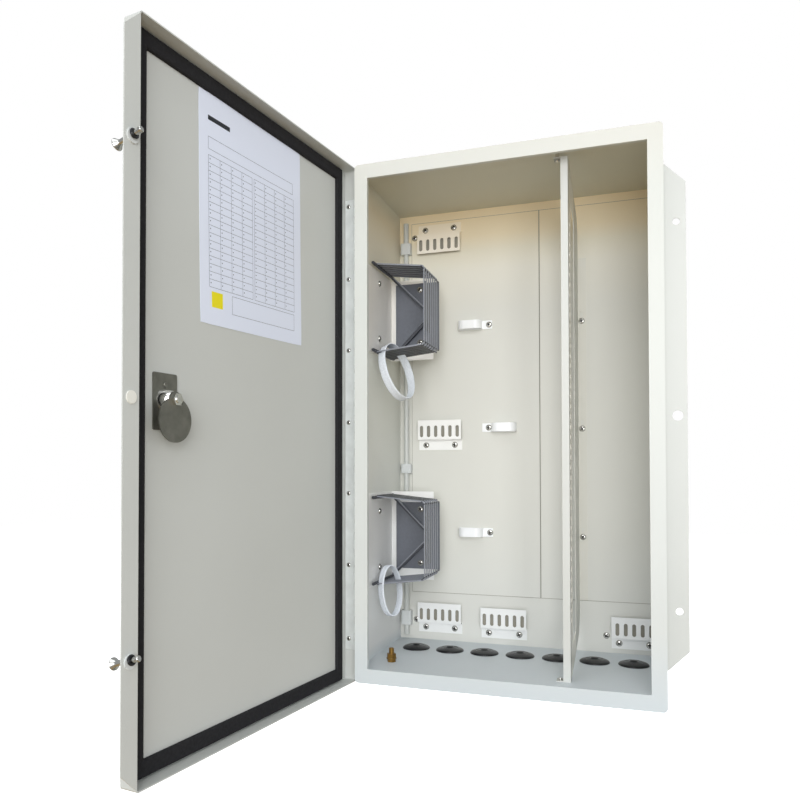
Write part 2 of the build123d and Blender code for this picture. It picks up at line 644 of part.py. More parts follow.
# Divider: front strip with a tab at each end, windowed web, rear flange on the plate
with BuildPart() as divider:
    with BuildSketch(facing(STRIP_Y)):
        with Locations((DIVIDER_X, FLOOR_Z)):
            Rectangle(STRIP_WIDTH, STRIP_TOP_Z - FLOOR_Z, align=(Align.MAX, Align.MIN))
    extrude(amount=DIVIDER_SHEET)
    with BuildSketch(Plane.YZ.offset(DIVIDER_X)):
        with BuildLine():
            Polyline(
                (STRIP_Y - DIVIDER_SHEET, FLOOR_Z),
                (STRIP_Y + WEB_SHOULDER / 2, FLOOR_Z),
                (PLATE_Y - WEB_SHOULDER, WEB_LOW_Z),
                (PLATE_Y, WEB_LOW_Z + WEB_SHOULDER),
                (PLATE_Y, WEB_TOP_Z - WEB_SHOULDER),
                (PLATE_Y - WEB_SHOULDER, WEB_TOP_Z),
                (STRIP_Y + WEB_SHOULDER / 2, STRIP_TOP_Z),
                (STRIP_Y - DIVIDER_SHEET, STRIP_TOP_Z),
                close=True,
            )
        make_face()
        with BuildLine():
            Polyline(
                (WINDOW_FRONT_Y, WINDOW_LOW_Z),
                (WINDOW_BACK_Y, WINDOW_LOW_Z + 12),
                (WINDOW_BACK_Y, WINDOW_HIGH_Z - 12),
                (WINDOW_FRONT_Y, WINDOW_HIGH_Z),
                close=True,
            )
        make_face(mode=Mode.SUBTRACT)
        with Locations(((STRIP_Y + WINDOW_FRONT_Y) / 2, (WINDOW_LOW_Z + WINDOW_HIGH_Z) / 2)):
            with GridLocations(1, STRIP_SLOT_PITCH, 1, 40):
                Rectangle(14, 7, mode=Mode.SUBTRACT)
    extrude(amount=DIVIDER_SHEET)
    with BuildSketch(facing(PLATE_Y)):
        with Locations((DIVIDER_X, REAR_FLANGE_LOW_Z)):
            Rectangle(
                REAR_FLANGE, REAR_FLANGE_HIGH_Z - REAR_FLANGE_LOW_Z, align=(Align.MIN, Align.MIN)
            )
        with Locations(*[(DIVIDER_SCREW_X, z) for z in DIVIDER_SCREW_ZS]):
            Circle(SCREW_R + RUNNING, mode=Mode.SUBTRACT)
        with Locations(*[(DIVIDER_SCREW_X, z + KEYHOLE_RISE) for z in DIVIDER_SCREW_ZS]):
            SlotOverall(KEYHOLE_LONG, KEYHOLE_WIDE, rotation=90, mode=Mode.SUBTRACT)
    extrude(amount=DIVIDER_SHEET)
    for tab_z in (FLOOR_Z, STRIP_TOP_Z - DIVIDER_SHEET):
        with BuildSketch(Plane.XY.offset(tab_z)):
            with Locations((DIVIDER_X - STRIP_WIDTH + DIVIDER_SHEET, STRIP_Y - DIVIDER_SHEET)):
                Rectangle(
                    DIVIDER_TAB + DIVIDER_SHEET, DIVIDER_TAB_DEPTH, align=(Align.MAX, Align.MIN)
                )
            with Locations((DIVIDER_X - STRIP_WIDTH - DIVIDER_TAB / 2, STRIP_Y + DIVIDER_TAB_DEPTH / 2)):
                Circle(SMALL_R + RUNNING, mode=Mode.SUBTRACT)
        extrude(amount=DIVIDER_SHEET)
write(divider.part, "divider")
for z in DIVIDER_SCREW_ZS:
    place = facing(PLATE_Y - DIVIDER_SHEET).location * Location((DIVIDER_SCREW_X, z, 0))
    shank = DIVIDER_SHEET - PLATE_Y - 0.3
    back_screws.append(place * fastener(SCREW_HEAD_R, SCREW_HEAD, SCREW_R, shank))
write(Compound(children=back_screws), "back_screws")
TAB_SCREW_X = DIVIDER_X - STRIP_WIDTH - DIVIDER_TAB / 2
TAB_SCREW_Y = STRIP_Y + DIVIDER_TAB_DEPTH / 2
with BuildPart() as spacer:
    with BuildSketch(Plane.XY.offset(STRIP_TOP_Z)):
        with Locations((TAB_SCREW_X, TAB_SCREW_Y)):
            Circle(SMALL_HEAD_R)
            Circle(SMALL_R + RUNNING, mode=Mode.SUBTRACT)
    extrude(amount=CEILING_Z - STRIP_TOP_Z)
write(spacer.part, "divider_spacer")
tab_places = [
    Location((TAB_SCREW_X, TAB_SCREW_Y, FLOOR_Z + DIVIDER_SHEET)),
    Location((TAB_SCREW_X, TAB_SCREW_Y, STRIP_TOP_Z - DIVIDER_SHEET), (180, 0, 0)),
]
write(fasteners(tab_places, SMALL_HEAD_R, SMALL_HEAD + 1, SMALL_R, DIVIDER_SHEET), "tab_screws")

# Grommets in the floor, each gripping the sheet with two flanges
for i, x in enumerate(GROMMET_XS):
    with BuildPart() as grommet:
        with BuildSketch(Plane.XZ):
            with BuildLine():
                Polyline(
                    (0, FLOOR_Z - SHEET - GROMMET_FLANGE),
                    (GROMMET_HOLE_R + 2.0, FLOOR_Z - SHEET - GROMMET_FLANGE),
                    (GROMMET_HOLE_R + 2.0, FLOOR_Z - SHEET),
                    (GROMMET_HOLE_R - RUNNING, FLOOR_Z - SHEET),
                    (GROMMET_HOLE_R - RUNNING, FLOOR_Z),
                    (GROMMET_R, FLOOR_Z),
                    (GROMMET_R, FLOOR_Z + GROMMET_FLANGE),
                    (GROMMET_R - 4.0, FLOOR_Z + GROMMET_FLANGE + GROMMET_DOME),
                    (0, FLOOR_Z + GROMMET_FLANGE + GROMMET_DOME),
                    close=True,
                )
            make_face()
        revolve(axis=Axis.Z)
    write(Location((x, GROMMET_Y, 0)) * grommet.part, f"grommet_{i + 1}")

# Earth stud welded to the floor, with a washer and a nut
with BuildPart() as earth_stud:
    with BuildSketch(Plane.XY.offset(FLOOR_Z)):
        with Locations((STUD_X, STUD_Y)):
            RegularPolygon(7.0, 6)
    extrude(amount=5.0)
    with BuildSketch(Plane.XY.offset(FLOOR_Z)):
        with Locations((STUD_X, STUD_Y)):
            Circle(STUD_R)
    extrude(amount=STUD_HEIGHT)
    chamfer(faces().sort_by(Axis.Z)[-1].edges(), 0.8)
write(earth_stud.part, "earth_stud")
with BuildPart() as earth_nut:
    with BuildSketch(Plane.XY.offset(FLOOR_Z + 5.0)):
        with Locations((STUD_X, STUD_Y)):
            Circle(8.0)
            Circle(STUD_R + RUNNING, mode=Mode.SUBTRACT)
    extrude(amount=1.4)
    with BuildSketch(Plane.XY.offset(FLOOR_Z + 6.4)):
        with Locations((STUD_X, STUD_Y)):
            RegularPolygon(7.5, 6)
            Circle(STUD_R + RUNNING, mode=Mode.SUBTRACT)
    extrude(amount=6.5)
write(earth_nut.part, "earth_nut")

# The door: a pan that wraps round the frame, with an outward flange on its free edge
PAN_WIDTH = PAN_HIGH_U - PAN_LOW_U
PAN_MIDDLE_U = (PAN_HIGH_U + PAN_LOW_U) / 2
with BuildPart() as door_panel:
    with BuildSketch(on_door(RIM_N)):
        with Locations((PAN_MIDDLE_U, FRAME_Z)):
            RectangleRounded(PAN_WIDTH, PAN_HEIGHT, PAN_CORNER_R)
    extrude(amount=RIM_N - PAN_FACE_N)
    with BuildSketch(on_door(RIM_N)):
        with Locations((PAN_MIDDLE_U, FRAME_Z)):
            RectangleRounded(PAN_WIDTH - 2 * SHEET, PAN_HEIGHT - 2 * SHEET, PAN_CORNER_R - SHEET)
    extrude(amount=RIM_N - PANEL_IN_N, mode=Mode.SUBTRACT)
    with BuildSketch(on_door(RIM_N)):
        with Locations((PAN_HIGH_U - SHEET, FRAME_Z)):
            Rectangle(
                DOOR_FLANGE_U - PAN_HIGH_U + SHEET, PAN_HEIGHT - 2 * PAN_CORNER_R,
                align=(Align.MIN, Align.CENTER),
            )
        chamfer(vertices().sort_by(Axis.X)[-2:], DOOR_FLANGE_CHAMFER)
        with Locations(*[(BOLT_U, z) for z in LOCK_HOLE_ZS]):
            Circle(BUSH_NECK_R + RUNNING, mode=Mode.SUBTRACT)
    extrude(amount=SHEET)
    with BuildSketch(on_door(PANEL_IN_N + 1)):
        with Locations((LOCK_U, LOCK_Z)):
            Circle(BARREL_R + RUNNING)
        with Locations((LOCK_U, LOCK_RIVET_Z)):
            Circle(SMALL_R + RUNNING)
    extrude(amount=SHEET + 2, mode=Mode.SUBTRACT)
    with BuildSketch(across_door(PAN_LOW_U - 1)):
        with Locations(*[(HINGE_SCREW_N, z) for z in HINGE_SCREW_ZS]):
            Circle(SMALL_R + RUNNING)
    extrude(amount=SHEET + 2, mode=Mode.SUBTRACT)
write(door_panel.part, "door_panel")

with BuildPart() as door_gasket:
    with BuildSketch(on_door(PANEL_IN_N + GASKET)):
        with Locations(((GASKET_OUT_LOW_U + GASKET_OUT_HIGH_U) / 2, FRAME_Z)):
            Rectangle(GASKET_OUT_HIGH_U - GASKET_OUT_LOW_U, GASKET_OUT_HEIGHT)
        with Locations(((GASKET_IN_LOW_U + GASKET_IN_HIGH_U) / 2, FRAME_Z)):
            Rectangle(GASKET_IN_HIGH_U - GASKET_IN_LOW_U, GASKET_IN_HEIGHT, mode=Mode.SUBTRACT)
    extrude(amount=GASKET)
write(door_gasket.part, "door_gasket")

with BuildPart() as chart_sheet:
    with BuildSketch(on_door(PANEL_IN_N + CHART_THICK)):
        with Locations((CHART_U, CHART_Z)):
            Rectangle(CHART_WIDTH, CHART_HEIGHT, rotation=CHART_TILT)
    extrude(amount=CHART_THICK)
write(chart_sheet.part, "chart_sheet")

# Piano hinge: each leaf is notched clear of the other leaf's knuckles
KNUCKLES = int(HINGE_HEIGHT / KNUCKLE_PITCH)
HINGE_LOW_Z = FRAME_Z - KNUCKLES * KNUCKLE_PITCH / 2
DOOR_KNUCKLE_ZS = [HINGE_LOW_Z + KNUCKLE_PITCH * i for i in range(KNUCKLES)]
BODY_KNUCKLE_ZS = [z + KNUCKLE_PITCH / 2 for z in DOOR_KNUCKLE_ZS]
LEAF_LENGTH = KNUCKLES * KNUCKLE_PITCH
DOOR_LEAF_U = PAN_LOW_U + SHEET
with BuildPart() as hinge_door_leaf:
    with BuildSketch(above_door(HINGE_LOW_Z)):
        with Locations((DOOR_LEAF_U, 0)):
            Rectangle(LEAF, LEAF_REACH, align=(Align.MIN, Align.MAX))
        Circle(KNUCKLE_R)
        Circle(PIN_R + RUNNING, mode=Mode.SUBTRACT)
    extrude(amount=LEAF_LENGTH)
    with BuildSketch(across_door(DOOR_LEAF_U - 1)):
        for z in BODY_KNUCKLE_ZS:
            with Locations((-LEAF_NOTCH, z)):
                Rectangle(LEAF_NOTCH + 4, KNUCKLE_PITCH / 2, align=(Align.MIN, Align.MIN))
        with Locations(*[(HINGE_SCREW_N, z) for z in HINGE_SCREW_ZS]):
            Circle(SMALL_R + RUNNING)
    extrude(amount=KNUCKLE_R * 2 + 3, mode=Mode.SUBTRACT)
write(hinge_door_leaf.part, "hinge_door_leaf")

BODY_LEAF_X = -FRAME_WIDTH / 2 - HINGE_X - LEAF
with BuildPart() as hinge_body_leaf:
    with BuildSketch(Plane(origin=HINGE_AXIS + Vector(0, 0, HINGE_LOW_Z), z_dir=(0, 0, 1))):
        with Locations((BODY_LEAF_X, 0)):
            Rectangle(LEAF, BODY_LEAF_REACH, align=(Align.MIN, Align.MAX))
        Circle(KNUCKLE_R)
        Circle(PIN_R + RUNNING, mode=Mode.SUBTRACT)
    extrude(amount=LEAF_LENGTH)
    with BuildSketch(Plane.YZ.offset(HINGE_X - KNUCKLE_R - 1)):
        for z in DOOR_KNUCKLE_ZS:
            with Locations((HINGE_Y - LEAF_NOTCH / 2, z - LEAF_GAP / 2)):
                Rectangle(
                    LEAF_NOTCH / 2 + 4, KNUCKLE_PITCH / 2 + LEAF_GAP, align=(Align.MIN, Align.MIN)
                )
    extrude(amount=KNUCKLE_R * 2 + 3, mode=Mode.SUBTRACT)
write(hinge_body_leaf.part, "hinge_body_leaf")

with BuildPart() as hinge_pin:
    with BuildSketch(above_door(HINGE_LOW_Z)):
        Circle(PIN_R)
    extrude(amount=LEAF_LENGTH)
write(hinge_pin.part, "hinge_pin")

leaf_face = across_door(DOOR_LEAF_U + LEAF)
hinge_places = [leaf_face.location * Location((HINGE_SCREW_N, z, 0)) for z in HINGE_SCREW_ZS]
write(
    fasteners(hinge_places, SMALL_HEAD_R, SMALL_HEAD, SMALL_R, LEAF + SHEET - 0.2), "hinge_screws"
)

# Quarter turn lock: plate and barrel stay on the door; spindle, cam and nut turn
CAM_LOW_N = PANEL_IN_N + CAM_STAND_OFF
with BuildPart() as lock_plate:
    with BuildSketch(on_door(PANEL_IN_N + LOCK_PLATE_THICK)):
        with Locations((LOCK_U, LOCK_PLATE_Z)):
            RectangleRounded(LOCK_PLATE_WIDTH, LOCK_PLATE_HEIGHT, 2)
        with Locations((LOCK_U, LOCK_Z)):
            Circle(BARREL_R + RUNNING, mode=Mode.SUBTRACT)
        with Locations((LOCK_U, LOCK_RIVET_Z)):
            Circle(SMALL_R + RUNNING, mode=Mode.SUBTRACT)
    extrude(amount=LOCK_PLATE_THICK)
write(lock_plate.part, "lock_plate")

rivet_place = on_door(PANEL_IN_N + LOCK_PLATE_THICK).location * Location(
    (LOCK_U, LOCK_RIVET_Z, 0), (180, 0, 0)
)
write(
    fasteners(
        [rivet_place], SMALL_HEAD_R, SMALL_HEAD, SMALL_R, LOCK_PLATE_THICK + SHEET - 0.2
    ),
    "lock_rivet",
)

with BuildPart() as lock_barrel:
    with BuildSketch(on_door(CAM_LOW_N - 0.3)):
        with Locations((LOCK_U, LOCK_Z)):
            Circle(BARREL_R)
    extrude(amount=CAM_LOW_N - 0.3 - PAN_FACE_N)
    with BuildSketch(on_door(PAN_FACE_N)):
        with Locations((LOCK_U, LOCK_Z)):
            Circle(BARREL_HEAD_R)
    extrude(amount=BARREL_HEAD)
    with BuildSketch(on_door(PAN_FACE_N - BARREL_HEAD - 1)):
        with Locations((LOCK_U, LOCK_Z)):
            Circle(SPINDLE_R + RUNNING)
    extrude(amount=-60, mode=Mode.SUBTRACT)
write(lock_barrel.part, "lock_barrel")

with BuildPart() as lock_spindle:
    with BuildSketch(on_door(CAM_LOW_N + CAM_THICK + NUT_THICK)):
        with Locations((LOCK_U, LOCK_Z)):
            Circle(SPINDLE_R)
    extrude(amount=CAM_LOW_N + CAM_THICK + NUT_THICK - PAN_FACE_N + 1.5)
    with BuildSketch(on_door(PAN_FACE_N - 1.5)):
        with Locations((LOCK_U, LOCK_Z)):
            Rectangle(4.5, 1.2)
    extrude(amount=-3.0, mode=Mode.SUBTRACT)
write(lock_spindle.part, "lock_spindle")

with BuildPart() as lock_cam:
    with BuildSketch(on_door(CAM_LOW_N + CAM_THICK)):
        with Locations((LOCK_U, LOCK_Z - CAM_DROP)):
            Circle(CAM_R)
        with Locations((LOCK_U, LOCK_Z)):
            Circle(BARREL_R)
            Circle(SPINDLE_R + RUNNING, mode=Mode.SUBTRACT)
    extrude(amount=CAM_THICK)
write(lock_cam.part, "lock_cam")

with BuildPart() as lock_nut:
    with BuildSketch(on_door(CAM_LOW_N + CAM_THICK + NUT_THICK - 1.0)):
        with Locations((LOCK_U, LOCK_Z)):
            RegularPolygon(NUT_ACROSS / 2, 6, major_radius=False)
            Circle(SPINDLE_R + RUNNING, mode=Mode.SUBTRACT)
    extrude(amount=NUT_THICK - 1.0)
write(lock_nut.part, "lock_nut")

# Security bolts in bushes at the flange ends, and a plug in the middle hole
FLANGE_OUT_N = RIM_N - SHEET
bushes = []
o_rings = []
for end, z in (("bottom", LOCK_HOLE_ZS[0]), ("top", LOCK_HOLE_ZS[2])):
    with BuildPart() as bush:
        with BuildSketch(on_door(RIM_N + BUSH_COLLAR)):
            with Locations((BOLT_U, z)):
                Circle(BUSH_R)
        extrude(amount=BUSH_COLLAR)
        with BuildSketch(on_door(RIM_N)):
            with Locations((BOLT_U, z)):
                Circle(BUSH_NECK_R)
        extrude(amount=SHEET)
        with BuildSketch(on_door(FLANGE_OUT_N)):
            with Locations((BOLT_U, z)):
                Circle(BUSH_R - 1)
        extrude(amount=BUSH_COLLAR)
        with BuildSketch(on_door(RIM_N + BUSH_COLLAR + 1)):
            with Locations((BOLT_U, z)):
                Circle(BOLT_R + RUNNING)
        extrude(amount=SHEET + 2 * BUSH_COLLAR + 2, mode=Mode.SUBTRACT)
    bushes.append(bush.part)
    with BuildPart() as o_ring:
        with BuildSketch(on_door(RIM_N + BUSH_COLLAR + O_RING)):
            with Locations((BOLT_U, z)):
                Circle(O_RING_OUT_R)
                Circle(BOLT_R + RUNNING, mode=Mode.SUBTRACT)
        extrude(amount=O_RING)
    o_rings.append(o_ring.part)
    with BuildPart() as bolt:
        with BuildSketch(on_door(RIM_N + BOLT_TIP)):
            with Locations((BOLT_U, z)):
                Circle(BOLT_R)
        extrude(amount=BOLT_TIP + SHEET + BOLT_HEAD_STAND)
        chamfer(faces().sort_by(Axis(HINGE_AXIS, DOOR_N))[-1].edges(), 1.0)
        with BuildSketch(on_door(FLANGE_OUT_N - BOLT_HEAD_STAND)):
            with Locations((BOLT_U, z)):
                Circle(BOLT_HEAD_R)
        extrude(amount=BOLT_HEAD)
        chamfer(faces().sort_by(Axis(HINGE_AXIS, DOOR_N))[0].edges(), 0.8)
    write(bolt.part, f"security_bolt_{end}")

write(Compound(children=bushes), "bolt_bushes")
write(Compound(children=o_rings), "bolt_o_rings")

with BuildPart() as hole_plug:
    with BuildSketch(on_door(RIM_N + 1.2)):
        with Locations((BOLT_U, FRAME_Z)):
            Circle(PLUG_R)
    extrude(amount=1.2)
    with BuildSketch(on_door(RIM_N)):
        with Locations((BOLT_U, FRAME_Z)):
            Circle(BUSH_NECK_R)
    extrude(amount=SHEET)
    with BuildSketch(on_door(FLANGE_OUT_N)):
        with Locations((BOLT_U, FRAME_Z)):
            Circle(PLUG_R - 0.5)
    extrude(amount=1.2)
write(hole_plug.part, "hole_plug")
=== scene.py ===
import bmesh
import bpy
import json
import math
from mathutils import Matrix, Vector


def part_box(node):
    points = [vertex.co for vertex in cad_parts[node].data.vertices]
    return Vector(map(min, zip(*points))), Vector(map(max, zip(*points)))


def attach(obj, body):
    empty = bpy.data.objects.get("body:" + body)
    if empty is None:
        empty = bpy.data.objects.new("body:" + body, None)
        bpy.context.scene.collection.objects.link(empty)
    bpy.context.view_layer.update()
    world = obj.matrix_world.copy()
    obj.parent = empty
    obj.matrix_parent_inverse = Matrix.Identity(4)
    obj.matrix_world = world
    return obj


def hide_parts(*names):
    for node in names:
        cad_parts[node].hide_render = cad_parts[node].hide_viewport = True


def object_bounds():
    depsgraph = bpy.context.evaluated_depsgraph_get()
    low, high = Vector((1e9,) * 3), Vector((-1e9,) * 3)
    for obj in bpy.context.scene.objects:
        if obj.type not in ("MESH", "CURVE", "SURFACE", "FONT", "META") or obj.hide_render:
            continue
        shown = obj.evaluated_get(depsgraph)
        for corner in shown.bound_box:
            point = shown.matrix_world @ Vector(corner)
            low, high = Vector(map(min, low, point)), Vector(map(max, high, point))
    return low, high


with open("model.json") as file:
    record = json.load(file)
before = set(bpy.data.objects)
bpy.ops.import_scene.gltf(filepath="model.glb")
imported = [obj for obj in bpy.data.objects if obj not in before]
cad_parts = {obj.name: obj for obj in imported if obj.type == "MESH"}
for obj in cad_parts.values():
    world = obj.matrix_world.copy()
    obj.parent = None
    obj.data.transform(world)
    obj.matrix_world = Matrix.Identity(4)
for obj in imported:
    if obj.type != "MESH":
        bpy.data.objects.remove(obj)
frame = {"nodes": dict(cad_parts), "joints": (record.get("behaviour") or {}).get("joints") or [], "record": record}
CAD_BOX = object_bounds()
NODES = frame["nodes"]
JOINTS = {joint["name"]: joint for joint in frame["joints"]}

# Directions of the open door: u to its free edge, n inwards, z up; and out of the cabinet
DOOR_JOINT = JOINTS["door_hinge"]
LOCK_JOINT = JOINTS["lock_turn"]
HINGE = Vector(DOOR_JOINT["pos_m"])
DOOR_N = Vector(LOCK_JOINT["axis"]).normalized()
UP = Vector((0, 0, 1))
DOOR_U = DOOR_N.cross(UP)
OUT = Vector((0, -1, 0))

# A millimetre in metres, and bodies that the extra pieces ride on
MM = 0.001
DOOR_BODY = "door"
CABINET_BODY = "cabinet"

# The camera that took the photograph
CAMERA_PLACE = Vector((0.18128, -1.30172, -0.08191))
CAMERA_YAW = -0.3327
CAMERA_PITCH = 0.0193
CAMERA_ROLL = -0.0012
FOCAL_PIXELS = 740.94
IMAGE_SIDE = 800.0
PRINCIPAL_X = 376.38
PRINCIPAL_Y = 456.785
SENSOR = 36.0

# How every paint is mottled and roughened
COAT_ROUGHNESS = 0.15
MOTTLE_SPAN = (0.3, 0.7)
MOTTLE_DETAIL = 4.0
BUMP_DETAIL = 2.0
BUMP_DISTANCE = 0.0004
PAINT_MOTTLE = 3
PAINT_PEEL = 700

# Faces count as front by their normal's y, and as inward by their side of the middle; front faces inside take
# their own painted light
FRONT_SPAN = (-0.3, -0.9)
INWARD_SPAN = (0.0, -0.01)
CABINET_MIDDLE = (0.0, -0.115, 0.0)


def linear(red, green, blue):
    """A colour given as 0 to 255 screen values, as linear light."""
    out = []
    for value in (red, green, blue):
        share = value / 255
        out.append(share / 12.92 if share <= 0.04045 else ((share + 0.055) / 1.055) ** 2.4)
    return (*out, 1.0)


def material(name, colour, roughness, metallic=0.0, coat=0.0, specular=0.5):
    """A plain Principled material; the caller may add a texture to it."""
    made = bpy.data.materials.new(name)
    made.use_nodes = True
    shader = made.node_tree.nodes["Principled BSDF"]
    shader.inputs["Base Color"].default_value = colour
    shader.inputs["Roughness"].default_value = roughness
    shader.inputs["Metallic"].default_value = metallic
    shader.inputs["Coat Weight"].default_value = coat
    shader.inputs["Coat Roughness"].default_value = COAT_ROUGHNESS
    shader.inputs["Specular IOR Level"].default_value = specular
    return made


def add_noise(made, scale, low, high, bump=0.0, bump_scale=PAINT_PEEL):
    """Mottles a material's colour between two factors and may roughen its surface."""
    tree = made.node_tree
    shader = tree.nodes["Principled BSDF"]
    base = tuple(shader.inputs["Base Color"].default_value)
    place = tree.nodes.new("ShaderNodeTexCoord")
    noise = tree.nodes.new("ShaderNodeTexNoise")
    noise.inputs["Scale"].default_value = scale
    noise.inputs["Detail"].default_value = MOTTLE_DETAIL
    tree.links.new(place.outputs["Object"], noise.inputs["Vector"])
    ramp = tree.nodes.new("ShaderNodeValToRGB")
    ramp.color_ramp.elements[0].position = MOTTLE_SPAN[0]
    ramp.color_ramp.elements[1].position = MOTTLE_SPAN[1]
    ramp.color_ramp.elements[0].color = (*[c * low for c in base[:3]], 1)
    ramp.color_ramp.elements[1].color = (*[min(1, c * high) for c in base[:3]], 1)
    tree.links.new(noise.outputs["Fac"], ramp.inputs["Fac"])
    tree.links.new(ramp.outputs["Color"], shader.inputs["Base Color"])
    if bump:
        fine = tree.nodes.new("ShaderNodeTexNoise")
        fine.inputs["Scale"].default_value = bump_scale
        fine.inputs["Detail"].default_value = BUMP_DETAIL
        tree.links.new(place.outputs["Object"], fine.inputs["Vector"])
        height = tree.nodes.new("ShaderNodeBump")
        height.inputs["Strength"].default_value = bump
        height.inputs["Distance"].default_value = BUMP_DISTANCE
        tree.links.new(fine.outputs["Fac"], height.inputs["Height"])
        tree.links.new(height.outputs["Normal"], shader.inputs["Normal"])
    return made


def painted_light_ramp(tree, stops, axis="Z"):
    """A colour socket that blends from stop to stop along one direction of the part."""
    place = tree.nodes.new("ShaderNodeTexCoord")
    split = tree.nodes.new("ShaderNodeSeparateXYZ")
    rise = tree.nodes.new("ShaderNodeMapRange")
    low, high = stops[0][0], stops[-1][0]
    rise.inputs["From Min"].default_value = low
    rise.inputs["From Max"].default_value = high
    ramp = tree.nodes.new("ShaderNodeValToRGB")
    for count, (spot, colour) in enumerate(stops):
        share = (spot - low) / (high - low)
        if count in (0, len(stops) - 1):
            element = ramp.color_ramp.elements[0 if count == 0 else -1]
            element.position = share
        else:
            element = ramp.color_ramp.elements.new(share)
        element.color = colour
    tree.links.new(place.outputs["Object"], split.inputs[0])
    tree.links.new(split.outputs[axis], rise.inputs["Value"])
    tree.links.new(rise.outputs["Result"], ramp.inputs["Fac"])
    return ramp.outputs["Color"]


def mixed(tree, first, second, factor, blend="MIX"):
    """A colour socket that blends two others."""
    mix = tree.nodes.new("ShaderNodeMix")
    mix.data_type = "RGBA"
    mix.blend_type = blend
    if isinstance(factor, float):
        mix.inputs["Factor"].default_value = factor
    else:
        tree.links.new(factor, mix.inputs["Factor"])
    tree.links.new(first, mix.inputs[6])
    tree.links.new(second, mix.inputs[7])
    return mix.outputs[2]


def facing_front(tree):
    """A socket that is 1 on faces that look to the front and 0 on the others."""
    place = tree.nodes.new("ShaderNodeTexCoord")
    split = tree.nodes.new("ShaderNodeSeparateXYZ")
    share = tree.nodes.new("ShaderNodeMapRange")
    share.inputs["From Min"].default_value = FRONT_SPAN[0]
    share.inputs["From Max"].default_value = FRONT_SPAN[1]
    tree.links.new(place.outputs["Normal"], split.inputs[0])
    tree.links.new(split.outputs["Y"], share.inputs["Value"])
    return share.outputs["Result"]


def facing_inward(tree):
    """A socket that is 1 on faces that look to the cabinet's middle and 0 on its outside."""
    place = tree.nodes.new("ShaderNodeTexCoord")
    centre = tree.nodes.new("ShaderNodeVectorMath")
    centre.operation = "SUBTRACT"
    centre.inputs[1].default_value = CABINET_MIDDLE
    toward = tree.nodes.new("ShaderNodeVectorMath")
    toward.operation = "DOT_PRODUCT"
    share = tree.nodes.new("ShaderNodeMapRange")
    share.inputs["From Min"].default_value = INWARD_SPAN[0]
    share.inputs["From Max"].default_value = INWARD_SPAN[1]
    tree.links.new(place.outputs["Object"], centre.inputs[0])
    tree.links.new(centre.outputs[0], toward.inputs[0])
    tree.links.new(place.outputs["Normal"], toward.inputs[1])
    tree.links.new(toward.outputs["Value"], share.inputs["Value"])
    return share.outputs["Result"]


def paint_with_painted_light(name, roughness, stops, coat=0.0, bump=0.25, front=None, axis="Z"):
    """A mottled paint whose colour follows the place on the part, as painted light and shade.

    Where front is given, faces to the front follow it as their own painted light, and the outside stays plain.
    """
    white = material(name, (1.0, 1.0, 1.0, 1.0), roughness, coat=coat)
    made = add_noise(white, PAINT_MOTTLE, 0.955, 1.0, bump)
    tree = made.node_tree
    paint = tree.nodes["Principled BSDF"].inputs["Base Color"]
    painted_light = painted_light_ramp(tree, stops, axis)
    if front:
        painted_light = mixed(tree, painted_light, painted_light_ramp(tree, front), facing_front(tree))
        plain = tree.nodes.new("ShaderNodeRGB")
        plain.outputs[0].default_value = OUTSIDE
        painted_light = mixed(tree, plain.outputs[0], painted_light, facing_inward(tree))
    tree.links.new(mixed(tree, paint.links[0].from_socket, painted_light, 1.0, "MULTIPLY"), paint)
    return made


OUTSIDE = linear(205, 208, 204)

# Colours by height in metres, all painted light and shade on one paint: cool at the floor, warm at the head
FRAME_STOPS = (
    (-0.40, linear(204, 213, 218)), (-0.30, linear(210, 214, 212)), (0.30, linear(211, 214, 209)),
    (0.40, linear(215, 215, 208)),
)
SHELL_STOPS = (
    (-0.3875, linear(205, 213, 218)), (-0.365, linear(228, 229, 229)), (-0.15, linear(224, 226, 222)),
    (0.20, linear(224, 225, 214)), (0.30, linear(223, 217, 200)), (0.35, linear(218, 207, 183)),
    (0.388, linear(213, 212, 197)),
)
BACK_STOPS = (
    (-0.38, linear(217, 218, 213)), (-0.2, linear(219, 219, 212)), (0.20, linear(221, 221, 214)),
    (0.275, linear(227, 225, 214)), (0.31, linear(231, 226, 208)), (0.338, linear(240, 226, 196)),
    (0.388, linear(246, 227, 190)),
)
BRACKET_STOPS = (
    (-0.40, linear(238, 240, 240)), (0.0, linear(250, 250, 248)), (0.30, linear(250, 246, 238)),
    (0.36, linear(250, 238, 216)),
)

# The divider's colour by depth, all painted light and shade on one paint: its strip, a painted shadow behind it,
# the web painted lit, its back in painted shade, and its flange painted lit
DIVIDER_STOPS = (
    (-0.2035, linear(204, 206, 202)), (-0.2025, linear(170, 171, 165)), (-0.190, linear(170, 171, 165)),
    (-0.187, linear(226, 224, 214)), (-0.094, linear(226, 224, 214)), (-0.091, linear(186, 187, 180)),
    (-0.012, linear(186, 187, 180)), (-0.006, linear(220, 219, 210)),
)

CABINET = material("cabinet_paint", linear(201, 204, 201), 0.42, coat=0.15)
add_noise(CABINET, PAINT_MOTTLE, 0.97, 1.02, 0.25)
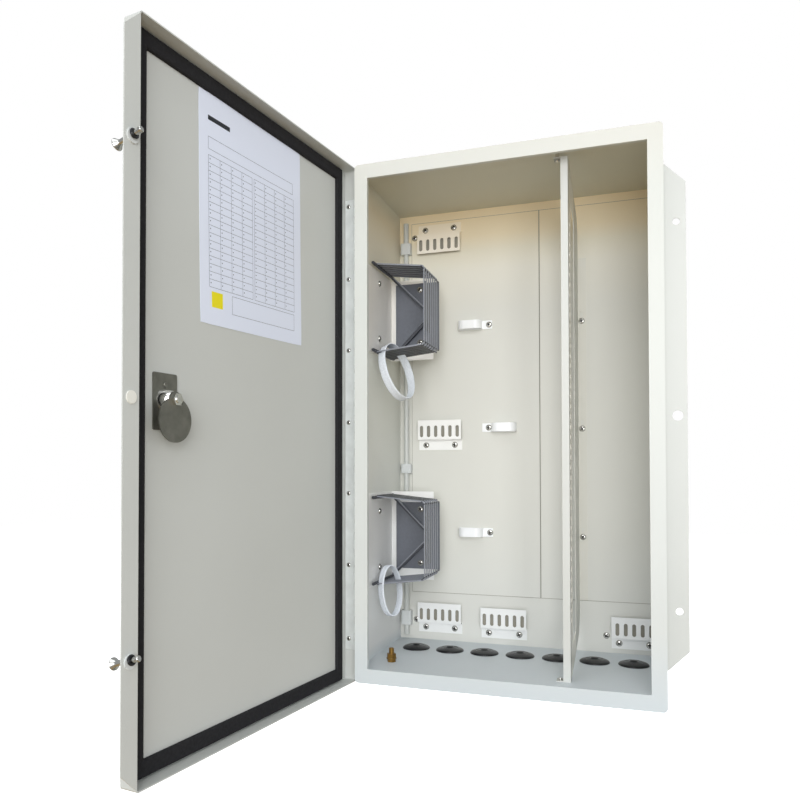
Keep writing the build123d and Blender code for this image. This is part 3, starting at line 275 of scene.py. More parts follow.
# The frame, shell, divider, plate and bracket paints carry painted light and shade in their colour by place
FRAME = paint_with_painted_light("frame_paint", 0.42, FRAME_STOPS, 0.15)
SHELL = paint_with_painted_light("shell_paint", 0.44, SHELL_STOPS, front=BACK_STOPS)
DIVIDER = paint_with_painted_light("divider_paint", 0.42, DIVIDER_STOPS, 0.15, axis="Y")
PLATE = paint_with_painted_light("plate_paint", 0.45, BACK_STOPS, bump=0.2)
SHADE = material("hollow_shade", linear(150, 147, 136), 0.7)
BRACKET = paint_with_painted_light("bracket_paint", 0.35, BRACKET_STOPS)
STEEL = material("screw_steel", linear(226, 225, 221), 0.24, metallic=1.0)
SCREW_SHADE = material("screw_recess_shade", linear(52, 50, 48), 0.6)
HINGE_STEEL = add_noise(material("hinge_steel", linear(234, 239, 238), 0.42, metallic=0.3), 60, 0.92, 1.05)
DARK_STEEL = add_noise(material("dark_steel", linear(126, 126, 118), 0.36, metallic=0.75), 80, 0.85, 1.15)
CHROME = material("bolt_chrome", linear(190, 190, 186), 0.16, metallic=1.0)
BRIGHT_STEEL = material("bright_steel", linear(236, 236, 233), 0.14, metallic=1.0)
BRASS = material("brass", linear(150, 116, 62), 0.34, metallic=1.0)
FOAM = add_noise(material("foam_rubber", linear(31, 31, 34), 0.85, specular=0.3), 300, 0.8, 1.3, 0.5, 900)
RUBBER = add_noise(material("grommet_rubber", linear(17, 19, 23), 0.3, specular=0.5), 240, 0.9, 1.15)
TRAY = add_noise(material("tray_plastic", linear(104, 108, 117), 0.36), 200, 0.95, 1.06)
# A lighter and a darker copy of the tray plastic: painted light on the hoops and bar tops, painted shade on the
# webs, rods and bar sides
TRAY_LIT = add_noise(material("tray_painted_light", linear(138, 142, 151), 0.36), 200, 0.95, 1.06)
TRAY_SHADED = add_noise(material("tray_painted_shade", linear(66, 69, 76), 0.5), 200, 0.95, 1.06)
WHITE_PLASTIC = material("white_plastic", linear(250, 252, 254), 0.3)
SADDLE = material("saddle_plastic", linear(210, 214, 214), 0.4)
PLUG = material("plug_plastic", linear(232, 232, 225), 0.5)
STRAP = add_noise(material("strap_fabric", linear(230, 236, 244), 0.85), 400, 0.9, 1.05, 0.5, 1200)
PAPER = material("sheet_paper", linear(230, 237, 254), 0.3, coat=0.3)
INK = material("printed_rules", linear(88, 96, 116), 0.5)
YELLOW = material("printed_yellow", linear(238, 226, 20), 0.4)
DARK_PRINT = material("printed_bar", linear(18, 24, 34), 0.4)

SLOT_MATERIALS = {
    "cabinet_paint": CABINET,
    "plate_paint": PLATE,
    "bracket_paint": BRACKET,
    "screw_steel": STEEL,
    "hinge_steel": HINGE_STEEL,
    "dark_steel": DARK_STEEL,
    "bolt_chrome": CHROME,
    "brass": BRASS,
    "foam_rubber": FOAM,
    "grommet_rubber": RUBBER,
    "tray_plastic": TRAY,
    "white_plastic": WHITE_PLASTIC,
    "plug_plastic": PLUG,
    "strap_fabric": STRAP,
    "sheet_paper": PAPER,
}

for part in frame["record"]["subparts"]:
    node = NODES[part["node"]]
    node.data.materials.clear()
    node.data.materials.append(SLOT_MATERIALS[part["material_slot"]])

NODES["body_shell"].data.materials[0] = SHELL
NODES["front_frame"].data.materials[0] = FRAME
NODES["divider"].data.materials[0] = DIVIDER
for name in ("saddle_upper", "saddle_middle", "saddle_lower", "bolt_bushes"):
    NODES[name].data.materials[0] = SADDLE
for name in ("lock_nut", "lock_spindle"):
    NODES[name].data.materials[0] = BRIGHT_STEEL
NODES["lock_rivet"].data.materials[0] = DARK_STEEL


def door_point(u, n, z):
    """A point given by the door's own directions, in metres from its hinge axis."""
    return HINGE + DOOR_U * u + DOOR_N * n + UP * (z - HINGE.z)


def levels(node, direction, step=1e-5):
    """The sorted distances of a node's corners along one direction from the hinge axis."""
    found = {round((v.co - HINGE).dot(direction) / step) for v in NODES[node].data.vertices}
    return sorted(value * step for value in found)


def islands(node):
    """The corner lists of a node's separate solids, each list in no fixed order."""
    bm = bmesh.new()
    bm.from_mesh(NODES[node].data)
    bmesh.ops.remove_doubles(bm, verts=bm.verts, dist=1e-6)
    left = set(bm.verts)
    groups = []
    while left:
        queue = [left.pop()]
        group = []
        while queue:
            vert = queue.pop()
            group.append(vert.co.copy())
            for edge in vert.link_edges:
                other = edge.other_vert(vert)
                if other in left:
                    left.remove(other)
                    queue.append(other)
        groups.append(group)
    bm.free()
    return groups


def add_piece(name, mesh, body, paint, replaced=(), smooth=True):
    """Links a mesh as a piece that rides on a body and may stand for CAD nodes."""
    made = bpy.data.objects.new(name, mesh)
    bpy.context.scene.collection.objects.link(made)
    mesh.materials.append(paint)
    for face in mesh.polygons:
        face.use_smooth = smooth
    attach(made, body)
    if replaced:
        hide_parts(*replaced)
    return made


def mesh_of(name, bm):
    """Turns a bmesh into a mesh with outward faces."""
    bmesh.ops.recalc_face_normals(bm, faces=bm.faces)
    mesh = bpy.data.meshes.new(name)
    bm.to_mesh(mesh)
    bm.free()
    return mesh


def facing_mesh(name, bm, outward):
    """Turns an open bmesh into a mesh whose faces look outward."""
    for face in bm.faces:
        face.normal_update()
        if face.normal.dot(outward) < 0:
            face.normal_flip()
    mesh = bpy.data.meshes.new(name)
    bm.to_mesh(mesh)
    bm.free()
    return mesh


def lathe(bm, profile, place, segments=32):
    """Turns (radius, height) points round the local z axis of place."""
    rings = []
    for radius, height in profile:
        if radius == 0:
            rings.append([bm.verts.new(place @ Vector((0, 0, height)))])
            continue
        ring = []
        for i in range(segments):
            angle = 2 * math.pi * i / segments
            spot = Vector((radius * math.cos(angle), radius * math.sin(angle), height))
            ring.append(bm.verts.new(place @ spot))
        rings.append(ring)
    for low, high in zip(rings, rings[1:]):
        for i in range(segments):
            j = (i + 1) % segments
            if len(low) == 1:
                bm.faces.new((low[0], high[j], high[i]))
            elif len(high) == 1:
                bm.faces.new((low[i], low[j], high[0]))
            else:
                bm.faces.new((low[i], low[j], high[j], high[i]))


def frame_at(place, outward):
    """A matrix whose z axis is outward and whose origin is place."""
    return Matrix.Translation(place) @ outward.to_track_quat("Z", "Y").to_matrix().to_4x4()


# Screws: pan heads with a cross recess painted dark as shade, on a dark washer that also stands for the shade
# under the head, one for each solid of a node of screws
SCREW_HEAD = 2.4 * MM
SMALL_HEAD = 1.4 * MM
SHANK_SHARE = 0.44
SCREW_SEGMENTS = 24
SCREW_TURN = 0.7
RECESS_SHARE = 0.7
RECESS_WIDE = 0.24
RECESS_DEEP = 0.7
WASHER_SHARE = 1.16
WASHER_INNER = 0.9
WASHER_THICK = 0.35 * MM
WASHER_SEGMENTS = 28


def screw_mesh(radius, height, shank_radius, shank):
    """A pan-head screw along +z with a cross recess, its head resting on z = 0."""
    bm = bmesh.new()
    profile = (
        (0, -shank),
        (shank_radius, -shank),
        (shank_radius, 0),
        (radius, 0),
        (radius, 0.3 * height),
        (0.93 * radius, 0.62 * height),
        (0.72 * radius, 0.87 * height),
        (0.4 * radius, 0.98 * height),
        (0, height),
    )
    lathe(bm, profile, Matrix.Identity(4), SCREW_SEGMENTS)
    head = bpy.data.objects.new("screw_head", mesh_of("screw_head", bm))
    bm = bmesh.new()
    for turn in (0, math.pi / 2):
        arm = Matrix.Rotation(turn, 4, "Z") @ Matrix.Translation((0, 0, height))
        size = (2 * RECESS_SHARE * radius, 2 * RECESS_WIDE * radius, 2 * RECESS_DEEP * height, 1)
        bmesh.ops.create_cube(bm, size=1, matrix=arm @ Matrix.Diagonal(size))
    cutter = bpy.data.objects.new("screw_cutter", mesh_of("screw_cutter", bm))
    bpy.context.scene.collection.objects.link(head)
    bpy.context.scene.collection.objects.link(cutter)
    cut = head.modifiers.new("recess", "BOOLEAN")
    cut.operation = "DIFFERENCE"
    cut.solver = "EXACT"
    cut.use_self = True
    cut.object = cutter
    graph = bpy.context.evaluated_depsgraph_get()
    mesh = bpy.data.meshes.new_from_object(head.evaluated_get(graph))
    bpy.data.objects.remove(head)
    bpy.data.objects.remove(cutter)
    # The recess's walls and bottom take the second material, the dark one, as painted shade
    floor_high = (1 - 0.9 * RECESS_DEEP) * height
    for face in mesh.polygons:
        spot = face.center
        inner = face.normal.z < 0.5 or spot.z < floor_high
        within = math.hypot(spot.x, spot.y) < RECESS_SHARE * radius * 0.99
        face.material_index = int(within and inner and spot.z > 0.05 * height)
    return mesh


def add_screws(node, outward, body, head_height):
    """Stands one recessed screw on the place of each solid of a node of screws."""
    side = outward.orthogonal().normalized()
    other = outward.cross(side)
    # Screws at nearly the same height may swap, and with them the turns of their recesses
    groups = sorted(islands(node), key=lambda group: (round(group[0].z, 3), round(group[0].x, 3)))
    joined, washers = bmesh.new(), bmesh.new()
    for count, group in enumerate(groups):
        along = [p.dot(outward) for p in group]
        across = [p.dot(side) for p in group]
        over = [p.dot(other) for p in group]
        radius = (max(across) - min(across)) / 2
        seat = max(along) - head_height
        length = seat - min(along)
        place = (
            side * (max(across) + min(across)) / 2
            + other * (max(over) + min(over)) / 2
            + outward * seat
        )
        mesh = screw_mesh(radius, head_height, radius * SHANK_SHARE, length)
        mesh.transform(frame_at(place, outward) @ Matrix.Rotation(SCREW_TURN * count, 4, "Z"))
        joined.from_mesh(mesh)
        bpy.data.meshes.remove(mesh)
        washer = (
            (radius * SHANK_SHARE, 0), (radius * WASHER_SHARE, 0), (radius * WASHER_SHARE, WASHER_THICK),
            (radius * WASHER_INNER, WASHER_THICK),
        )
        lathe(washers, washer, frame_at(place, outward), WASHER_SEGMENTS)
    name = node + "_washers"
    add_piece(name, mesh_of(name, washers), body, DARK_STEEL, (node,), False)
    name = node + "_heads"
    heads = add_piece(name, mesh_of(name, joined), body, STEEL, (node,), False)
    heads.data.materials.append(SCREW_SHADE)


add_screws("back_screws", OUT, CABINET_BODY, SCREW_HEAD)
add_screws("tray_screws", OUT, CABINET_BODY, SCREW_HEAD)
add_screws("wall_screws", Vector((1, 0, 0)), CABINET_BODY, SCREW_HEAD)
add_screws("hinge_screws", DOOR_U, DOOR_BODY, SMALL_HEAD)

# Door gasket: a foam strip with a rounded back, its outline as shares of its width and height
GASKET_PROFILE = (
    (0, 0), (0, 0.55), (0.05, 0.85), (0.16, 1), (0.5, 0.97), (0.84, 1), (0.95, 0.85), (1, 0.55), (1, 0),
)


def add_gasket():
    us = levels("door_gasket", DOOR_U)
    ns = levels("door_gasket", DOOR_N)
    zs = levels("door_gasket", UP)
    u_out, u_in = (us[0], us[-1]), (us[1], us[-2])
    z_out, z_in = (zs[0], zs[-1]), (zs[1], zs[-2])
    bm = bmesh.new()
    rings = []
    for share, height in GASKET_PROFILE:
        n = ns[0] + (ns[-1] - ns[0]) * height
        ring = []
        for a, b in ((0, 0), (1, 0), (1, 1), (0, 1)):
            u = u_out[a] + (u_in[a] - u_out[a]) * share
            z = z_out[b] + (z_in[b] - z_out[b]) * share
            ring.append(bm.verts.new(door_point(u, n, z + HINGE.z)))
        rings.append(ring)
    for low, high in zip(rings, rings[1:] + rings[:1]):
        for i in range(4):
            j = (i + 1) % 4
            bm.faces.new((low[i], low[j], high[j], high[i]))
    mesh = mesh_of("gasket_strip", bm)
    add_piece("gasket_strip", mesh, DOOR_BODY, FOAM, ("door_gasket",), False)


add_gasket()

# Chart: a laminated page with a plain ruled table, a plain yellow field and a plain dark bar
CHART_TILT = math.radians(-1.0)
CHART_WIDE = 215.9 * MM
CHART_TALL = 279.4 * MM
CHART_CORNER = 1.2 * MM
CHART_WAVE = 0.35 * MM
CHART_ACROSS, CHART_DOWN = 12, 16
RULE_WIDE = 0.45 * MM
RULE_LIFT = 0.08 * MM
RULE_RUN = 12 * MM
CHART_RISE = 3.5 * MM
TABLE_LEFT, TABLE_RIGHT = -91.2 * MM, 90.2 * MM
TABLE_TOP, TABLE_LOW = 64.5 * MM, -94.3 * MM
TABLE_ROWS = 17
TABLE_SPLIT = -3.4 * MM
TABLE_GAP = 4.0 * MM
TABLE_COLUMNS = 4
MARK_START, MARK_END = 2.2 * MM, 3.6 * MM
MARK_WIDE = 1.5 * MM
MARK_SHARE = 0.55
# Left, low, right and high edges, from the middle of the page
TITLE_BOX = (-91.4 * MM, 72.0 * MM, 88.2 * MM, 86.7 * MM)
REMARKS_BOX = (-48.3 * MM, -121.0 * MM, 89.3 * MM, -98.5 * MM)
YELLOW_BOX = (-87.3 * MM, -118.2 * MM, -66.7 * MM, -99.2 * MM)
DARK_BOX = (-91.7 * MM, 106.9 * MM, -50.2 * MM, 112.6 * MM)


def chart_frame():
    """The page's centre, its directions to the right and up, and its thickness."""
    us = [(v.co - HINGE).dot(DOOR_U) for v in NODES["chart_sheet"].data.vertices]
    zs = [v.co.z for v in NODES["chart_sheet"].data.vertices]
    ns = levels("chart_sheet", DOOR_N)
    centre = HINGE + DOOR_U * (max(us) + min(us)) / 2 + DOOR_N * ns[-1]
    centre.z = (max(zs) + min(zs)) / 2 + CHART_RISE
    right = -DOOR_U * math.cos(CHART_TILT) - UP * math.sin(CHART_TILT)
    return centre, right, DOOR_N.cross(right), ns[-1] - ns[0]


def chart_lift(x, z):
    """How far the page's face stands off at a place on it."""
    return CHART_WAVE * (0.5 + 0.5 * math.sin(x * 31 + 0.8) * math.cos(z * 23 + 0.3))


def add_chart():
    centre, right, up, thick = chart_frame()

    def spot(x, z, lift):
        return centre + right * x + up * z + DOOR_N * (chart_lift(x, z) + lift)

    bm = bmesh.new()
    grid = []
    for j in range(CHART_DOWN + 1):
        row = []
        for i in range(CHART_ACROSS + 1):
            x = CHART_WIDE * (i / CHART_ACROSS - 0.5)
            z = CHART_TALL * (j / CHART_DOWN - 0.5)
            if i in (0, CHART_ACROSS) and j in (0, CHART_DOWN):
                x *= 1 - CHART_CORNER / CHART_WIDE
                z *= 1 - CHART_CORNER / CHART_TALL
            row.append(bm.verts.new(spot(x, z, 0)))
        grid.append(row)
    for j in range(CHART_DOWN):
        for i in range(CHART_ACROSS):
            bm.faces.new((grid[j][i], grid[j][i + 1], grid[j + 1][i + 1], grid[j + 1][i]))
    page = facing_mesh("chart_page", bm, DOOR_N)
    sheet = add_piece("chart_page", page, DOOR_BODY, PAPER, ("chart_sheet",), False)
    solid = sheet.modifiers.new("thickness", "SOLIDIFY")
    solid.thickness = thick
    solid.offset = -1

    def rule(bm, x0, z0, x1, z1, wide=RULE_WIDE):
        """A printed line, in short runs that follow the page."""
        length = math.hypot(x1 - x0, z1 - z0)
        runs = max(1, int(length / RULE_RUN))
        nx, nz = (z0 - z1) / length * wide / 2, (x1 - x0) / length * wide / 2
        last = None
        for k in range(runs + 1):
            x = x0 + (x1 - x0) * k / runs
            z = z0 + (z1 - z0) * k / runs
            sides = (spot(x - nx, z - nz, RULE_LIFT), spot(x + nx, z + nz, RULE_LIFT))
            pair = [bm.verts.new(side) for side in sides]
            if last:
                bm.faces.new((last[0], pair[0], pair[1], last[1]))
            last = pair

    def box(bm, x0, z0, x1, z1):
        """Four printed lines round a field."""
        rule(bm, x0, z0, x1, z0)
        rule(bm, x0, z1, x1, z1)
        rule(bm, x0, z0, x0, z1)
        rule(bm, x1, z0, x1, z1)

    lines = bmesh.new()
    halves = (
        (TABLE_LEFT, TABLE_SPLIT - TABLE_GAP / 2),
        (TABLE_SPLIT + TABLE_GAP / 2, TABLE_RIGHT),
    )
    pitch = (TABLE_TOP - TABLE_LOW) / TABLE_ROWS
    for x0, x1 in halves:
        for row in range(TABLE_ROWS + 1):
            z = TABLE_LOW + pitch * row
            rule(lines, x0, z, x1, z)
        for column in range(TABLE_COLUMNS + 1):
            x = x0 + (x1 - x0) * column / TABLE_COLUMNS
            rule(lines, x, TABLE_LOW, x, TABLE_TOP)
            if column == TABLE_COLUMNS:
                continue
            for row in range(TABLE_ROWS):
                z = TABLE_LOW + pitch * (row + MARK_SHARE)
                rule(lines, x + MARK_START, z, x + MARK_END, z, MARK_WIDE)
    box(lines, *TITLE_BOX)
    box(lines, *REMARKS_BOX)
    rules = facing_mesh("chart_rules", lines, DOOR_N)
    add_piece("chart_rules", rules, DOOR_BODY, INK, (), False)

    for name, (x0, z0, x1, z1), paint in (
        ("chart_yellow_field", YELLOW_BOX, YELLOW),
        ("chart_dark_bar", DARK_BOX, DARK_PRINT),
    ):
        patch = bmesh.new()
        rule(patch, x0, (z0 + z1) / 2, x1, (z0 + z1) / 2, z1 - z0)
        field = facing_mesh(name, patch, DOOR_N)
        add_piece(name, field, DOOR_BODY, paint, (), False)


add_chart()

# Strap loops: closed ribbons that hang through the trays' low arms
STRAPS = {
    # centre, half depth and half height of the ellipse, its turn and its lean in degrees
    "upper": ((-0.1880, -0.1285, 0.0826), 0.0380, 0.0483, 17.2, 17.2),
    "lower": ((-0.1960, -0.1400, -0.2781), 0.0193, 0.0406, 34.4, 5.7),
}
STRAP_WIDE = 14.6 * MM
STRAP_THICK = 1.7 * MM
STRAP_STEPS = 72
STRAP_SECTION = (
    (-0.5, -0.3), (-0.47, 0.32), (-0.36, 0.5), (-0.06, 0.46), (0, 0.3), (0.06, 0.46), (0.36, 0.5),
    (0.47, 0.32), (0.5, -0.3), (0.44, -0.5), (-0.44, -0.5),
)


def add_strap(tray):
    centre, depth, height, turn, lean = STRAPS[tray]
    turn, lean = math.radians(turn), math.radians(lean)
    side = Vector((math.cos(turn), -math.sin(turn), 0))
    along = Vector((math.sin(turn), math.cos(turn), 0))
    up = UP * math.cos(lean) - side * math.sin(lean)
    normal = along.cross(up)
    bm = bmesh.new()
    rings = []
    for k in range(STRAP_STEPS):
        angle = 2 * math.pi * k / STRAP_STEPS
        spine = Vector(centre) + along * depth * math.cos(angle) + up * height * math.sin(angle)
        outward = (along * height * math.cos(angle) + up * depth * math.sin(angle)).normalized()
        ring = []
        for wide, thick in STRAP_SECTION:
            ring.append(bm.verts.new(spine + normal * wide * STRAP_WIDE + outward * thick * STRAP_THICK))
        rings.append(ring)
    for a, b in zip(rings, rings[1:] + rings[:1]):
        for i in range(len(a)):
            j = (i + 1) % len(a)
            bm.faces.new((a[i], a[j], b[j], b[i]))
    node = f"strap_loop_{tray}"
    add_piece(f"strap_ribbon_{tray}", mesh_of(node, bm), CABINET_BODY, STRAP, (node,))


for tray in STRAPS:
    add_strap(tray)

# Tray fingers: thin C-shaped hoops, one behind another, tied by rails at their corners and tips
HOOP_LEFT, HOOP_RIGHT = -215.0 * MM, -132.6 * MM
HOOPS = {
    # heights of the top left, top right, low right and low left corners
    "upper": (260.0 * MM, 249.5 * MM, 121.5 * MM, 112.5 * MM),
    "lower": (-122.0 * MM, -130.0 * MM, -257.0 * MM, -267.0 * MM),
}
HOOP_COUNT = 7
HOOP_FRONT = -157.0 * MM
HOOP_BACK = -76.0 * MM
HOOP_THICK = 3.4 * MM
ARM_WIDE = 2.0 * MM
SPINE_WIDE = 1.5 * MM
HOOP_CORNER = 5.0 * MM
CORNER_STEPS = 5
ARM_DEEP = 5.6 * MM
WEB_WIDE = 1.0 * MM
WEB_SPINES = 3
WEB_INSET = 0.3 * MM
WEB_SHARE = 0.55
WEB_WINDOW = 24.0 * MM
RAIL_R = 2.6 * MM
RAIL_SEGMENTS = 14
TIE_R = 1.3 * MM
TIE_SEGMENTS = 8
RAIL_FRONT = -171.0 * MM
BASE_Y = -61.0 * MM
RIDGES = (
    # height of the corner that the bar slopes from, direction of the slope, share of its painted highlight
    (245.5 * MM, -1, 0.35), (128.0 * MM, 1, 0.08), (-136.0 * MM, -1, 0.4), (-251.0 * MM, 1, 0.4),
)
RIDGE_LEFT, RIDGE_RUN = -216.0 * MM, 64.0 * MM
RIDGE_START = 12.0 * MM
RIDGE_HIGH = 7.0 * MM
RIDGE_Y = (-69.0 * MM, -61.5 * MM)
RIDGE_STEP = 1.2 * MM


def rounded_path(points, radius):
    """A path of (x, z) points whose inner corners are arcs."""
    path = [points[0]]
    for a, b, c in zip(points, points[1:], points[2:]):
        before = (a - b).normalized()
        after = (c - b).normalized()
        half = before.angle(after) / 2
        reach = radius / math.tan(half)
        centre = b + (before + after).normalized() * (radius / math.sin(half))
        start = b + before * reach - centre
        end = b + after * reach - centre
        begin = math.atan2(start.y, start.x)
        sweep = (math.atan2(end.y, end.x) - begin + math.pi) % (2 * math.pi) - math.pi
        for k in range(CORNER_STEPS + 1):
            angle = begin + sweep * k / CORNER_STEPS
            path.append(centre + Vector((math.cos(angle), math.sin(angle))) * radius)
    path.append(points[-1])
    return path


def add_hoop(bm, outer, inner, front, back):
    """A closed band between two paths, from one depth to another."""
    rings = []
    for path, y in ((outer, front), (inner, front), (inner, back), (outer, back)):
        rings.append([bm.verts.new(Vector((p.x, y, p.y))) for p in path])
    for a, b in zip(rings, rings[1:] + rings[:1]):
        for i in range(len(a) - 1):
            bm.faces.new((a[i], a[i + 1], b[i + 1], b[i]))
    for end in (0, -1):
        bm.faces.new([ring[end] for ring in rings])


def hoop_paths(heights):
    """The outer and inner paths of a hoop through corners at the given heights."""
    paths = []
    for arm, spine in ((0, 0), (ARM_WIDE, SPINE_WIDE)):
        top_left, top_right, low_right, low_left = heights
        corners = (
            (HOOP_LEFT, top_left - arm), (HOOP_RIGHT - spine, top_right - arm),
            (HOOP_RIGHT - spine, low_right + arm), (HOOP_LEFT, low_left + arm),
        )
        paths.append(rounded_path([Vector(p) for p in corners], HOOP_CORNER - spine))
    return paths


def add_web(bm, points, inset, front, back):
    """A thin wall, coloured dark as painted shade, that follows a stretch of the hoops, set in from their edge."""
    flat = [Vector(p) for p in points]
    outer, inner = [], []
    for i, p in enumerate(flat):
        pairs = zip(flat[max(i - 1, 0):i + 1], flat[max(i, 1):i + 2])
        ways = [(b - a).normalized() for a, b in pairs]
        way = sum(ways, Vector((0, 0))).normalized()
        side = Vector((way.y, -way.x))
        outer.append(p + side * inset)
        inner.append(p + side * (inset + WEB_WIDE))
    add_hoop(bm, outer, inner, front, back)


def add_rod(bm, x, z, radius, front, segments):
    """A round rod with a blunt tip that runs back to the base plate."""
    long = BASE_Y - front
    profile = ((0, -radius / 2), (radius * 0.8, -radius * 0.3), (radius, 0), (radius, long), (0, long))
    lathe(bm, profile, frame_at(Vector((x, front, z)), Vector((0, 1, 0))), segments)


def add_fingers(tray):
    top_left, top_right, low_right, low_left = HOOPS[tray]
    outer, inner = hoop_paths(HOOPS[tray])
    pitch = (HOOP_BACK - HOOP_FRONT) / (HOOP_COUNT - 1)
    hoops, webs = bmesh.new(), bmesh.new()
    for k in range(HOOP_COUNT):
        front = HOOP_FRONT + pitch * k
        add_hoop(hoops, outer, inner, front, front + HOOP_THICK)
        if k == HOOP_COUNT - 1:
            continue
        behind = front + HOOP_THICK
        corner = HOOP_RIGHT - HOOP_CORNER
        top_arm = ((HOOP_LEFT, top_left), (corner, top_right))
        low_arm = ((corner, low_right), (HOOP_LEFT, low_left))
        for arm in (top_arm, low_arm):
            add_web(webs, arm, -ARM_WIDE / 2, behind, front + pitch)
        if k < WEB_SPINES:
            spine = ((HOOP_RIGHT, top_right - WEB_WINDOW), (HOOP_RIGHT, low_right + WEB_WINDOW))
            add_web(webs, spine, WEB_INSET, behind, behind + (front + pitch - behind) * WEB_SHARE)
    for z in (top_left - ARM_DEEP / 2, low_left + ARM_DEEP / 2):
        add_rod(webs, HOOP_LEFT, z, RAIL_R, RAIL_FRONT, RAIL_SEGMENTS)
    for z, x in (
        (top_right - TIE_R, HOOP_RIGHT - HOOP_CORNER), (top_right - HOOP_CORNER, HOOP_RIGHT - TIE_R),
        (low_right + TIE_R, HOOP_RIGHT - HOOP_CORNER), (low_right + HOOP_CORNER, HOOP_RIGHT - TIE_R),
    ):
        add_rod(webs, x, z, TIE_R, HOOP_FRONT, TIE_SEGMENTS)
    # The hoops take the lighter copy as painted light; the webs and the rods take the darker copy as painted shade
    for kind, bm, paint in (("hoops", hoops, TRAY_LIT), ("webs", webs, TRAY_SHADED)):
        name = f"tray_{kind}_{tray}"
        mesh = mesh_of(name, bm)
        piece = add_piece(name, mesh, CABINET_BODY, paint, (f"tray_layers_{tray}",))
        piece.data.set_sharp_from_angle(angle=math.radians(40))


def add_ridges():
    """A painted highlight strip and a painted shade strip along each sloping bar on the base plates."""
    light, dark = bmesh.new(), bmesh.new()
    for corner_z, way, share in RIDGES:
        start = corner_z - way * RIDGE_START
        ends = ((RIDGE_LEFT, start), (RIDGE_LEFT + RIDGE_RUN, start + way * RIDGE_RUN))
        split = 0.5 - share
        strips = ((dark, -0.5, split, RIDGE_Y[0] + RIDGE_STEP), (light, split, 0.5, RIDGE_Y[0]))
        for bm, low, high, front in strips:
            rings = []
            for x, z in ends:
                corners = ((front, low), (front, high), (RIDGE_Y[1], high), (RIDGE_Y[1], low))
                spots = [Vector((x, y, z + level * RIDGE_HIGH)) for y, level in corners]
                rings.append([bm.verts.new(spot) for spot in spots])
            for i in range(4):
                j = (i + 1) % 4
                bm.faces.new((rings[0][i], rings[0][j], rings[1][j], rings[1][i]))
            bm.faces.new(rings[0])
            bm.faces.new(rings[1])
    for name, bm, paint in (("tray_bar_highlights", light, TRAY_LIT), ("tray_bar_shades", dark, TRAY_SHADED)):
        add_piece(name, mesh_of(name, bm), CABINET_BODY, paint, (), False)


for tray in HOOPS:
    add_fingers(tray)
add_ridges()

# Security bolts: they lean in their bushes, head down and tip up, each with its black ring
BOLT_LEAN = math.radians(15)
BOLT_RISE = 1.5 * MM
BOLT_SHIFT = 2.5 * MM
BOLT_SEGMENTS = 36
RING_LIFT = 0.2 * MM
RING_SEGMENTS = 32
# In millimetres: how much shorter, then radius and height, BOLT_END's heights from the far end
BOLT_SHORT = 2.0
BOLT_HEAD = (
    (0, 0.0), (4.6, 0.0), (5.0, 0.25), (6.5, 0.3), (6.8, 0.7), (6.8, 1.5), (6.4, 2.0), (4.4, 4.4),
    (3.3, 6.2), (3.0, 7.4),
)
BOLT_END = ((3.0, -5.4), (2.5, -5.0), (2.5, -4.2), (3.3, -3.9), (3.3, -0.7), (2.7, 0.0), (0, 0.0))
RING_PROFILE = ((3.2, 0.0), (5.2, 0.0), (5.7, 0.6), (5.7, 1.7), (5.2, 2.3), (3.9, 2.5), (3.2, 2.2))


def add_bolts():
    rings = bmesh.new()
    axis = (Matrix.Rotation(BOLT_LEAN, 3, DOOR_U) @ DOOR_N).normalized()
    rim = levels("bolt_o_rings", DOOR_N)[0]
    for end in ("top", "bottom"):
        node = f"security_bolt_{end}"
        ns = levels(node, DOOR_N)
        us = levels(node, DOOR_U)
        zs = [v.co.z for v in NODES[node].data.vertices]
        pivot = door_point((us[0] + us[-1]) / 2, rim, (max(zs) + min(zs)) / 2 + BOLT_RISE)
        long = (ns[-1] - ns[0]) / MM - BOLT_SHORT
        profile = [(r * MM, z * MM) for r, z in BOLT_HEAD]
        profile += [(r * MM, (z + long) * MM) for r, z in BOLT_END]
        bm = bmesh.new()
        lathe(bm, profile, frame_at(pivot + axis * (ns[0] - rim + BOLT_SHIFT), axis), BOLT_SEGMENTS)
        body = f"bolt_{end}"
        piece = add_piece(f"{body}_leaning", mesh_of(node, bm), body, CHROME, (node,))
        piece.data.set_sharp_from_angle(angle=math.radians(28))
        profile = [(r * MM, z * MM) for r, z in RING_PROFILE + RING_PROFILE[:1]]
        lathe(rings, profile, frame_at(pivot + axis * RING_LIFT, axis), RING_SEGMENTS)
    mesh = mesh_of("bolt_rings", rings)
    add_piece("bolt_rings", mesh, DOOR_BODY, RUBBER, ("bolt_o_rings",))


add_bolts()

# Lock hub: a polished cone between the plate and the cam disc, in place of the plain barrel
HUB_LOW, HUB_HIGH = 13.2 * MM, 9.0 * MM
HUB_GAP = 0.25 * MM
HUB_SEAT = 0.01 * MM
HUB_EDGE = 0.3 * MM
HUB_SEGMENTS = 48


def add_hub():
    barrel = levels("lock_barrel", DOOR_N)
    place = Vector(LOCK_JOINT["pos_m"])
    place -= DOOR_N * (place - HINGE).dot(DOOR_N)
    arms = [v.co - place for v in NODES["lock_barrel"].data.vertices]
    radius = max((arm - DOOR_N * arm.dot(DOOR_N)).length for arm in arms)
    seat = levels("lock_plate", DOOR_N)[-1] + HUB_SEAT
    face = levels("lock_cam", DOOR_N)[0] - HUB_GAP
    profile = (
        (0, barrel[0]), (radius, barrel[0]), (radius, seat), (HUB_LOW, seat),
        (HUB_HIGH, face - HUB_EDGE), (HUB_HIGH - HUB_EDGE, face), (0, face),
    )
    bm = bmesh.new()
    lathe(bm, profile, frame_at(place, DOOR_N), HUB_SEGMENTS)
    mesh = mesh_of("lock_hub", bm)
    hub = add_piece("lock_hub", mesh, DOOR_BODY, BRIGHT_STEEL, ("lock_barrel",))
    hub.data.set_sharp_from_angle(angle=math.radians(30))


add_hub()

